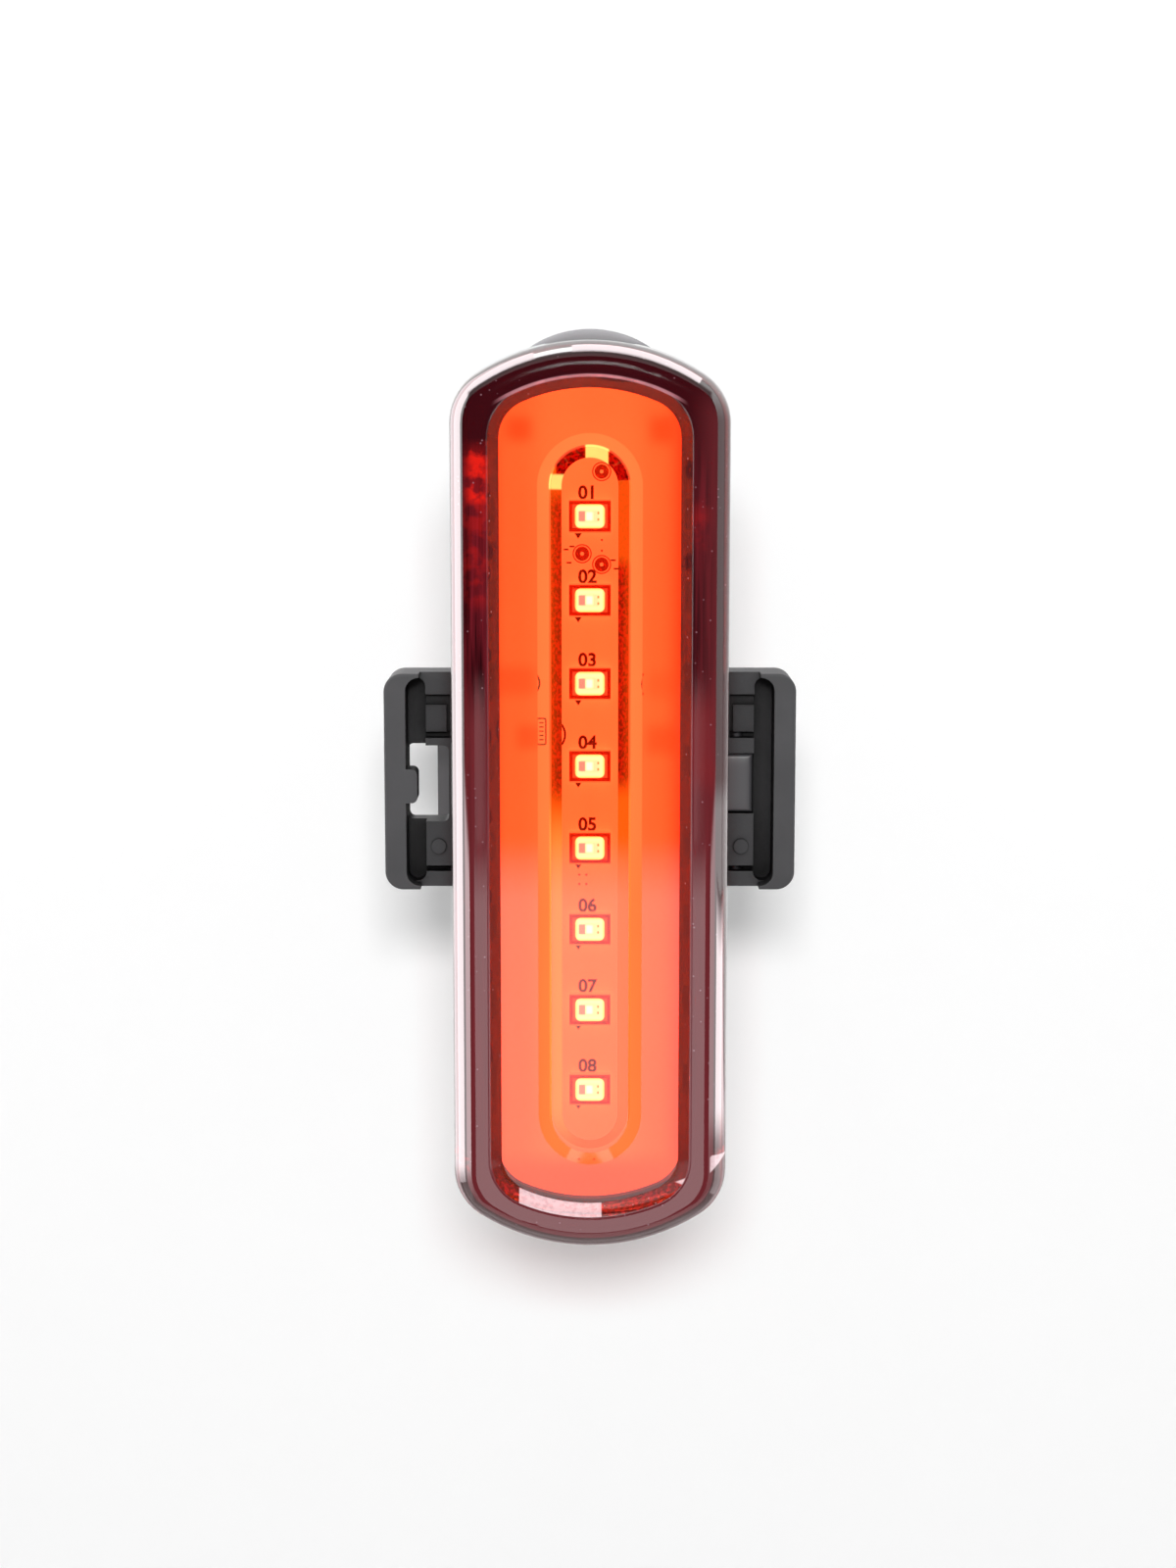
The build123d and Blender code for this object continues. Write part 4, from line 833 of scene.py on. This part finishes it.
def add_flat(bm, outline, y_back, y_front, hole=None):
    """A thin closed shape that faces the lens, with or without a hole of as many corners."""
    count = len(outline)
    rings = []
    for points in [outline] + ([hole] if hole else []):
        rings.append([[bm.verts.new((x * MM, y * MM, z * MM)) for x, z in points] for y in (y_front, y_back)])
    for front, back in rings:
        for i in range(count):
            j = (i + 1) % count
            bm.faces.new((front[i], back[i], back[j], front[j]))
    if hole:
        for side in (0, 1):
            outer, inner = rings[0][side], rings[1][side]
            for i in range(count):
                j = (i + 1) % count
                bm.faces.new((outer[i], outer[j], inner[j], inner[i]))
    else:
        for side in (0, 1):
            bm.faces.new(rings[0][side])


def mesh_from(bm, name):
    bmesh.ops.recalc_face_normals(bm, faces=bm.faces)
    mesh = bpy.data.meshes.new(name)
    bm.to_mesh(mesh)
    bm.free()
    return mesh


def lamp_heights():
    return [LAMP_ROW_SHIFT + LAMP_PITCH * ((LAMP_COUNT - 1) / 2 - i) for i in range(LAMP_COUNT)]


def make_board_marks(ink):
    """Corner triangles, arcs, a stamp frame and small ticks printed on the board."""
    bm = bmesh.new()
    back, front = BOARD_Y, BOARD_Y - INK_THICKNESS
    for lamp_z in lamp_heights():
        add_flat(bm, [(x, lamp_z + z) for x, z in TRIANGLE], back, front)
    for x, z, radius, start, end in ARCS:
        add_flat(bm, arc_band(x, z, radius, start, end, ARC_WIDTH), back, front)
    frame_hole = rounded_box(*STAMP_PLACE, *STAMP_INSIDE)
    add_flat(bm, rounded_box(*STAMP_PLACE, *STAMP_OUTSIDE), back, front, frame_hole)
    for z in STAMP_LINES:
        add_flat(bm, rounded_box(STAMP_PLACE[0], z, *STAMP_LINE), back, front)
    for x, z in TICKS:
        add_flat(bm, rounded_box(x, z, *TICK), back, front)
    for x, z in DOTS:
        add_flat(bm, circle(x, z, DOT_RADIUS, 12), back, front)
    new_piece("board_marks", mesh_from(bm, "board_marks"), ink, "light")


def make_board_pads(material):
    """Round test pads: a plated disc, and the ring round it."""
    bm = bmesh.new()
    for x, z in PADS:
        for outer, inner in PAD_RINGS:
            hole = circle(x, z, inner)
            add_flat(bm, circle(x, z, outer), BOARD_Y, BOARD_Y - PAD_THICKNESS, hole)
    new_piece("board_pads", mesh_from(bm, "board_pads"), material, "light")


def make_board_numbers(ink):
    """Plain numbers above the lamps."""
    bm = bmesh.new()
    for number, z in enumerate(lamp_heights(), 1):
        curve = bpy.data.curves.new("number", "FONT")
        curve.body = f"{number:02d}"
        curve.size = NUMBER_HEIGHT * FONT_SIZE_PER_HEIGHT * MM
        curve.extrude = INK_THICKNESS / 2 * MM
        curve.offset = NUMBER_BOLDNESS * MM
        curve.align_x = "CENTER"
        text = bpy.data.objects.new("number", curve)
        text.rotation_euler = (math.pi / 2, 0, 0)
        middle_y = BOARD_Y - INK_THICKNESS / 2
        text.location = (NUMBER_X * MM, middle_y * MM, (z + NUMBER_ABOVE_LAMP) * MM)
        bpy.context.scene.collection.objects.link(text)
        bpy.context.view_layer.update()
        mesh = bpy.data.meshes.new_from_object(text)
        mesh.transform(text.matrix_world)
        bm.from_mesh(mesh)
        bpy.data.objects.remove(text)
        bpy.data.curves.remove(curve)
        bpy.data.meshes.remove(mesh)
    bmesh.ops.remove_doubles(bm, verts=bm.verts, dist=NUMBER_WELD * MM)
    new_piece("board_numbers", mesh_from(bm, "board_numbers"), ink, "light")


def make_board_printing():
    ink = board_ink()
    make_board_marks(ink)
    make_board_numbers(ink)
    make_board_pads(board_pad())


# Soft pieces in place of the plain ones from the CAD

EDGE_ROUND = 0.35
EDGE_INSETS = (0.0, 0.05, 0.12, 0.22, EDGE_ROUND)
SHARP_ANGLE = math.radians(50)
SHARP_ANGLE_SOFTENED = math.radians(40)
FLAT_ANGLE = math.radians(1)
SOFT_BEVEL = 0.14
ROOT_BEVEL = 0.08
SEAL_BEVEL = 0.1
SOLID_WELD = 0.002

# Largest steps of the lattices: strap, saddle pad in degrees and millimetres, end block
STRAP_STEPS = (0.45, 0.5)
PAD_STEPS = (3.0, 1.0)
BLOCK_STEPS = (0.5, 0.8)

# The strap runs straight from its root, then curls round the post; across is up
STRAP_ROOT = (14.0, -15.0)
STRAP_BEND = (16.9632, -5.0537)
STRAP_CURL_RADIUS = 18.0
STRAP_CURL = math.radians(141)
STRAP_HALF_WIDTH = 2.6
STRAP_HALF_THICKNESS = 0.8
STRAP_MIDDLE_Z = -0.35
STRAP_TIP_CORNER = 2.0
STRAP_STRAIGHT = math.dist(STRAP_ROOT, STRAP_BEND)
STRAP_LENGTH = STRAP_STRAIGHT + STRAP_CURL_RADIUS * STRAP_CURL
HOLE_HALF_LENGTH = 1.7
HOLE_HALF_WIDTH = 1.55
HOLE_PITCH = 6.2
HOLE_COUNT = 4
TIP_TO_HOLE = 9.0
HOLES = [STRAP_LENGTH - TIP_TO_HOLE - HOLE_PITCH * i for i in range(HOLE_COUNT)]
HOLE_MARGIN = 0.9
TIP_MARGIN = 0.8
ROOT_ANGLES = (8, 25, 45, 65)
RIM_WIDTH = 0.55
RIM_RISE = 0.22
RUNG_HALF_LENGTH = 0.55
RUNG_RISE = 0.30
GRIP_START = STRAP_LENGTH - 6.4
GRIP_END = STRAP_LENGTH - 0.9
GRIP_PITCH = 1.1
GRIP_RISE = 0.30

# The captive end that the pin goes through
BLOCK_X = (11.7, 14.45)
BLOCK_Y = (-20.0, -15.95)
BLOCK_Z = (-2.95, 2.25)

# The saddle pad is a bent sheet: angle from the post's front, across; inner and outer radius
PAD_INNER = 13.65
PAD_OUTER = 14.85
PAD_HALF_ANGLE = 57.0
PAD_HALF_HEIGHT = 7.4
PAD_GROOVES = (-4.5, 0.0, 4.5)
PAD_GROOVE_HALF = 0.55
PAD_GROOVE_MARKS = (0.25, 0.4, 0.55)
PAD_GROOVE_DEPTH = 0.35


def spread(marks, step):
    """Values from the first mark to the last that hit each mark, at most a step apart."""
    values = [marks[0]]
    for low, high in zip(marks, marks[1:]):
        count = max(1, math.ceil((high - low) / step - 1e-6))
        values += [low + (high - low) * (i + 1) / count for i in range(count)]
    return values


def near_edges(low, high):
    """Marks close to both ends, where the surface rounds off."""
    return [low + inset for inset in EDGE_INSETS] + [high - inset for inset in reversed(EDGE_INSETS)]


def rounded_drop(distance):
    """How far a face lies below its full height this close to an edge."""
    inside = EDGE_ROUND - min(max(distance, 0.0), EDGE_ROUND)
    return EDGE_ROUND - math.sqrt(EDGE_ROUND**2 - inside**2)


def soft_step(value):
    value = min(max(value, 0.0), 1.0)
    return value * value * (3 - 2 * value)


def bump_between(value, low, high, slope):
    return soft_step((value - low) / slope) * soft_step((high - value) / slope)


def closed_sheet(name, columns, rows, keep, point, material, body):
    """A solid sheet over a lattice; keep says which cells exist, point gives its two faces."""
    bm = bmesh.new()
    corners = {}

    def corner(i, j, side):
        if (i, j, side) not in corners:
            place_mm = point(columns[i], rows[j], side)
            corners[i, j, side] = bm.verts.new([part * MM for part in place_mm])
        return corners[i, j, side]

    cells = {
        (i, j)
        for i in range(len(columns) - 1)
        for j in range(len(rows) - 1)
        if keep((columns[i] + columns[i + 1]) / 2, (rows[j] + rows[j + 1]) / 2)
    }
    for i, j in cells:
        ring = [(i, j), (i + 1, j), (i + 1, j + 1), (i, j + 1)]
        neighbours = [(i, j - 1), (i + 1, j), (i, j + 1), (i - 1, j)]
        for side in (0, 1):
            bm.faces.new([corner(*at, side) for at in ring])
        for start, end, neighbour in zip(ring, ring[1:] + ring[:1], neighbours):
            if neighbour not in cells:
                bm.faces.new([corner(*start, 0), corner(*end, 0), corner(*end, 1), corner(*start, 1)])
    mesh = mesh_from(bm, name)
    mesh.shade_smooth()
    mesh.set_sharp_from_angle(angle=SHARP_ANGLE)
    return new_piece(name, mesh, material, body)


def everywhere(column, row):
    return True


def strap_centre(along):
    """The strap's middle line and its direction at a distance from the root."""
    straight = [(STRAP_BEND[i] - STRAP_ROOT[i]) / STRAP_STRAIGHT for i in (0, 1)]
    if along <= STRAP_STRAIGHT:
        return [STRAP_ROOT[i] + straight[i] * along for i in (0, 1)], straight
    turn = (along - STRAP_STRAIGHT) / STRAP_CURL_RADIUS
    centre_x = STRAP_BEND[0] - straight[1] * STRAP_CURL_RADIUS
    centre_y = STRAP_BEND[1] + straight[0] * STRAP_CURL_RADIUS
    angle = math.atan2(STRAP_BEND[1] - centre_y, STRAP_BEND[0] - centre_x) + turn
    out_x, out_y = math.cos(angle), math.sin(angle)
    return [centre_x + STRAP_CURL_RADIUS * out_x, centre_y + STRAP_CURL_RADIUS * out_y], [-out_y, out_x]


def hole_distance(along, across):
    """Distance to the rim of the nearest hole."""
    gaps = []
    for hole in HOLES:
        beside = max(abs(along - hole) - HOLE_HALF_LENGTH, 0.0)
        above = max(abs(across) - HOLE_HALF_WIDTH, 0.0)
        gaps.append(math.hypot(beside, above))
    return min(gaps)


def strap_relief(along, across):
    """Rims round the holes, rungs between them and the ribs of the grip, on the outer face."""
    rim = RIM_RISE * bump_between(hole_distance(along, across), -0.2, RIM_WIDTH, 0.25)
    rungs = 0.0
    for hole in HOLES:
        offset = abs(along - hole + HOLE_PITCH / 2)
        rungs = max(rungs, RUNG_RISE * bump_between(offset, -1.0, RUNG_HALF_LENGTH, 0.25))
    rungs *= bump_between(abs(across), -1.0, STRAP_HALF_WIDTH - EDGE_ROUND, 0.3)
    grip = GRIP_RISE * bump_between(along, GRIP_START, GRIP_END, 0.2)
    grip *= 0.5 + 0.5 * math.cos(2 * math.pi * (along - GRIP_START - GRIP_PITCH / 2) / GRIP_PITCH)
    grip *= bump_between(abs(across), -1.0, STRAP_HALF_WIDTH - 0.5, 0.35)
    return max(rim, rungs, grip)


def strap_point(along, across, side):
    past_corner = min(max(along - (STRAP_LENGTH - STRAP_TIP_CORNER), 0.0), STRAP_TIP_CORNER)
    half_width = STRAP_HALF_WIDTH - STRAP_TIP_CORNER + math.sqrt(STRAP_TIP_CORNER**2 - past_corner**2)
    edge = min(half_width * (1 - abs(across) / STRAP_HALF_WIDTH), STRAP_LENGTH - along,
               hole_distance(along, across))
    if along < 0:
        half = math.sqrt(max(STRAP_HALF_THICKNESS**2 - along**2, 0.0))
        half -= rounded_drop(STRAP_HALF_WIDTH - abs(across)) * half / STRAP_HALF_THICKNESS
    else:
        half = STRAP_HALF_THICKNESS - rounded_drop(edge)
    offset = half + strap_relief(along, across) if side else -half
    (x, y), (dx, dy) = strap_centre(along)
    return x + dy * offset, y - dx * offset, STRAP_MIDDLE_Z + across * half_width / STRAP_HALF_WIDTH


def sorted_marks(marks):
    return sorted(set(round(mark, 4) for mark in marks))


def make_strap(material):
    root = [-STRAP_HALF_THICKNESS * math.cos(math.radians(a)) for a in ROOT_ANGLES]
    marks = [0.0, GRIP_START] + near_edges(STRAP_LENGTH - TIP_MARGIN, STRAP_LENGTH)
    for hole in HOLES:
        marks += near_edges(hole - HOLE_HALF_LENGTH - HOLE_MARGIN, hole + HOLE_HALF_LENGTH + HOLE_MARGIN)
        marks += [hole + side * (HOLE_HALF_LENGTH + inset) for side in (-1, 1) for inset in EDGE_INSETS]
    columns = root + spread(sorted_marks(marks), STRAP_STEPS[0])
    across = near_edges(-STRAP_HALF_WIDTH, STRAP_HALF_WIDTH)
    across += [side * (HOLE_HALF_WIDTH + inset) for side in (-1, 1) for inset in EDGE_INSETS]
    rows = spread(sorted_marks(across), STRAP_STEPS[1])

    def keep(along, w):
        return hole_distance(along, w) > 0

    piece = closed_sheet("strap_band", columns, rows, keep, strap_point, material, "strap")
    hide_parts("strap")


def pad_point(degrees, z, side):
    angle = math.radians(degrees)
    edge = min(PAD_HALF_HEIGHT - abs(z), math.radians(PAD_HALF_ANGLE - abs(degrees)) * PAD_INNER)
    groove = max(bump_between(abs(z - middle), -1.0, PAD_GROOVE_HALF, 0.3) for middle in PAD_GROOVES)
    if side:
        radius = PAD_OUTER - rounded_drop(edge)
    else:
        radius = PAD_INNER + max(rounded_drop(edge), PAD_GROOVE_DEPTH * groove)
    return radius * math.sin(angle), -radius * math.cos(angle), z


def make_saddle_pad(material):
    edge_degrees = [math.degrees(inset / PAD_INNER) for inset in EDGE_INSETS]
    angles = [sign * (PAD_HALF_ANGLE - inset) for sign in (-1, 1) for inset in edge_degrees]
    columns = spread(sorted(angles), PAD_STEPS[0])
    heights = near_edges(-PAD_HALF_HEIGHT, PAD_HALF_HEIGHT)
    for middle in PAD_GROOVES:
        heights += [middle + side * offset for side in (-1, 1) for offset in PAD_GROOVE_MARKS]
    rows = spread(sorted(set(heights)), PAD_STEPS[1])
    piece = closed_sheet("saddle_grip", columns, rows, everywhere, pad_point, material, "bracket")
    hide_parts("saddle_pad")


def end_block_point(x, z, side):
    edge = min(x - BLOCK_X[0], BLOCK_X[1] - x, z - BLOCK_Z[0], BLOCK_Z[1] - z)
    y = BLOCK_Y[side] + (1 - 2 * side) * rounded_drop(edge)
    return x, y, z


def make_strap_end(material):
    columns = spread(near_edges(*BLOCK_X), BLOCK_STEPS[0])
    rows = spread(near_edges(*BLOCK_Z), BLOCK_STEPS[1])
    piece = closed_sheet("strap_end_block", columns, rows, everywhere, end_block_point, material, "bracket")
    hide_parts("strap_anchor")


def softened(node, name, body, material, width=SOFT_BEVEL):
    """A copy of a CAD solid with its sharp edges rounded over."""
    bm = bmesh.new()
    bm.from_mesh(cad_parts[node].data)
    bmesh.ops.remove_doubles(bm, verts=bm.verts, dist=SOLID_WELD * MM)
    bmesh.ops.dissolve_limit(bm, angle_limit=FLAT_ANGLE, verts=bm.verts, edges=bm.edges)
    inner_edges = [edge for edge in bm.edges if len(edge.link_faces) == 2]
    sharp = [edge for edge in inner_edges if edge.calc_face_angle() > SHARP_ANGLE]
    bmesh.ops.bevel(bm, geom=sharp, offset=width * MM, segments=3, profile=0.5, affect="EDGES",
                    clamp_overlap=True)
    mesh = mesh_from(bm, name)
    mesh.shade_smooth()
    mesh.set_sharp_from_angle(angle=SHARP_ANGLE_SOFTENED)
    piece = new_piece(name, mesh, material, body)
    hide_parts(node)
    return piece


def make_soft_pieces():
    strap = bpy.data.materials["strap_silicone"]
    rubber = bpy.data.materials["black_rubber"]
    make_strap(strap)
    make_saddle_pad(rubber)
    make_strap_end(strap)
    softened("usb_cover", "port_flap", "port_cover", rubber)
    softened("usb_cover_anchor", "port_flap_root", "light", rubber, ROOT_BEVEL)
    softened("lens_seal", "seal_ring", "light", rubber, SEAL_BEVEL)
    foam = softened("battery_foam", "cell_cushion", "light", bpy.data.materials["foam_grey"])


# Studio

BACKDROP_Y = 22 * MM
BACKDROP_REACH = 1.0
BACKDROP_GLOW = 0.10
FLOOR_Z = -350 * MM
FLOOR_REACH = 3.0
FLOOR_SEEN = 0.62
WORLD_LIGHT = 0.35
WORLD_SEEN = 1.0

# Lamps, in metres: size, place and power in watts; all aim at the light
LAMP_AIM = (0, -0.02, 0)
LAMPS = {
    "key_lamp": ((0.09, 0.05), (0, -0.47, 0.138), 1.6),
    "top_lamp": ((0.30, 0.20), (0, -0.10, 0.45), 0.7),
    "rear_lamp": ((0.30, 0.30), (-0.20, 0.45, 0.20), 1.1),
}

# Cards that only reflections see, in mm: the axis square to the card, its place on it,
# the two spans in the other axes, strength, and the height over which the top edge fades
CARD_PINK = (1.0, 0.90, 0.92)
CARDS = {
    "left_card": (0, -200, (-125, 20), (-130, 200), 4.0, 0),
    "left_rear_card": (1, 21, (-200, -60), (-130, 200), 2.5, 0),
    "left_low_card": (1, -262, (-322, -140), (-260, -46), 1.8, 10),
    "right_card": (0, 200, (-125, 20), (-200, -43), 4.0, 10),
    "right_rear_card": (1, 21, (60, 200), (-200, -43), 2.5, 10),
    "right_low_card": (1, -262, (140, 322), (-260, -46), 1.0, 10),
    "top_card": (2, 200, (-17, 133), (-120, 20), 4.0, 0),
    "top_left_card": (2, 200, (-200, -55), (-120, 20), 4.0, 0),
    "front_card": (1, -262, (-60, 60), (-230, -41), 3.1, 10),
    "left_stick": (1, -262, (-19.5, -17.5), (-41, -12), 1.2, 4),
    "right_stick": (1, -262, (16.5, 18.5), (-41, -12), 1.2, 4),
    "front_flag": (1, -264, (-322, 322), (-260, 220), 0.0, 0),
}


def card_corners(axis, at, first, second):
    corners = []
    for a, b in ((0, 0), (1, 0), (1, 1), (0, 1)):
        point = [first[a] * MM, second[b] * MM]
        point.insert(axis, at * MM)
        corners.append(tuple(point))
    return corners


def flat_sheet(name, corners, material):
    mesh = bpy.data.meshes.new(name)
    mesh.from_pydata(corners, [], [(0, 1, 2, 3)])
    mesh.materials.append(material)
    sheet = bpy.data.objects.new(name, mesh)
    bpy.context.scene.collection.objects.link(sheet)
    return sheet


def seen_rays(tree, light_path):
    """1 for the rays that show a thing: straight, mirrored or through something clear."""
    return any_of(tree, [light_path[f"Is {kind} Ray"] for kind in ("Camera", "Glossy", "Transmission")])


def backdrop_material(name, own_light, seen_light):
    """White and matt; it can't be seen from behind, and it lets lamps through."""
    material, tree = new_material(name)
    light_path = place(tree, "LightPath").outputs
    seen = seen_rays(tree, light_path)
    back = place(tree, "NewGeometry").outputs["Backfacing"]
    matt = place(tree, "BsdfPrincipled", {
        "Base Color": (0.86, 0.86, 0.86), "Roughness": 1.0, "Specular IOR Level": 0.0,
        "Emission Color": WHITE, "Emission Strength": mix_number(tree, seen, own_light, seen_light),
    })
    clear = place(tree, "BsdfTransparent")
    seen_from_behind = multiply(tree, light_path["Is Camera Ray"], back)
    through = calc(tree, "MAXIMUM", seen_from_behind, light_path["Is Shadow Ray"])
    both = place(tree, "MixShader", {0: through, 1: matt, 2: clear})
    finish_material(tree, both)
    return material


def card_material(name, strength, top, fade):
    material, tree = new_material(name)
    level = strength
    if fade:
        level = remap(tree, use_group(tree, PLACE)["Z"], top - fade, top, strength, 0.0)
    shader = place(tree, "Emission", {"Color": CARD_PINK, "Strength": level})
    finish_material(tree, shader)
    return material


def make_cards():
    for name, (axis, at, first, second, strength, fade) in CARDS.items():
        material = card_material(name, strength, second[1], fade)
        card = flat_sheet(name, card_corners(axis, at, first, second), material)
        for kind in ("camera", "diffuse", "transmission", "shadow", "volume_scatter"):
            setattr(card, f"visible_{kind}", False)


def soft_lamp(name, size, location, power):
    data = bpy.data.lights.new(name, "AREA")
    data.shape = "RECTANGLE"
    data.size, data.size_y = size
    data.energy = power
    lamp = bpy.data.objects.new(name, data)
    bpy.context.scene.collection.objects.link(lamp)
    lamp.location = location
    lamp.rotation_euler = (Vector(location) - Vector(LAMP_AIM)).to_track_quat("Z", "Y").to_euler()
    lamp.visible_camera = False


def make_world():
    world = bpy.data.worlds.new("studio")
    bpy.context.scene.world = world
    world.use_nodes = True
    tree = world.node_tree
    tree.nodes.clear()
    seen = seen_rays(tree, place(tree, "LightPath").outputs)
    strength = mix_number(tree, seen, WORLD_LIGHT, WORLD_SEEN)
    background = place(tree, "Background", {"Color": WHITE, "Strength": strength})
    place(tree, "OutputWorld", {"Surface": background})


def make_studio():
    make_world()
    square = ((-1, -1), (1, -1), (1, 1), (-1, 1))
    backdrop = [(x * BACKDROP_REACH, BACKDROP_Y, z * BACKDROP_REACH) for x, z in square]
    floor = [(x * FLOOR_REACH, y * FLOOR_REACH, FLOOR_Z) for x, y in square]
    flat_sheet("backdrop", backdrop, backdrop_material("backdrop_white", BACKDROP_GLOW, BACKDROP_GLOW))
    flat_sheet("floor", floor, backdrop_material("floor_white", 0.0, FLOOR_SEEN))
    make_cards()
    for name, (size, location, power) in LAMPS.items():
        soft_lamp(name, size, location, power)


def make_camera():
    data = bpy.data.cameras.new("camera")
    data.lens = CAMERA_LENS
    data.sensor_width = CAMERA_SENSOR
    camera = bpy.data.objects.new("camera", data)
    bpy.context.scene.collection.objects.link(camera)
    lens_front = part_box("lens_cover")[0].y
    away = CAMERA_DISTANCE * math.cos(CAMERA_ELEVATION)
    rise = CAMERA_DISTANCE * math.sin(CAMERA_ELEVATION)
    camera.location = (CAMERA_SIDE, lens_front - away, CAMERA_AIM_HEIGHT + rise)
    camera.rotation_euler = (math.pi / 2 - CAMERA_PITCH, 0, 0)
    data.clip_start = 10 * MM
    data.clip_end = 10.0
    bpy.context.scene.camera = camera


bpy.context.scene.view_settings.view_transform = "Standard"
make_camera()
dress_nodes()
make_board_printing()
make_soft_pieces()
make_studio()
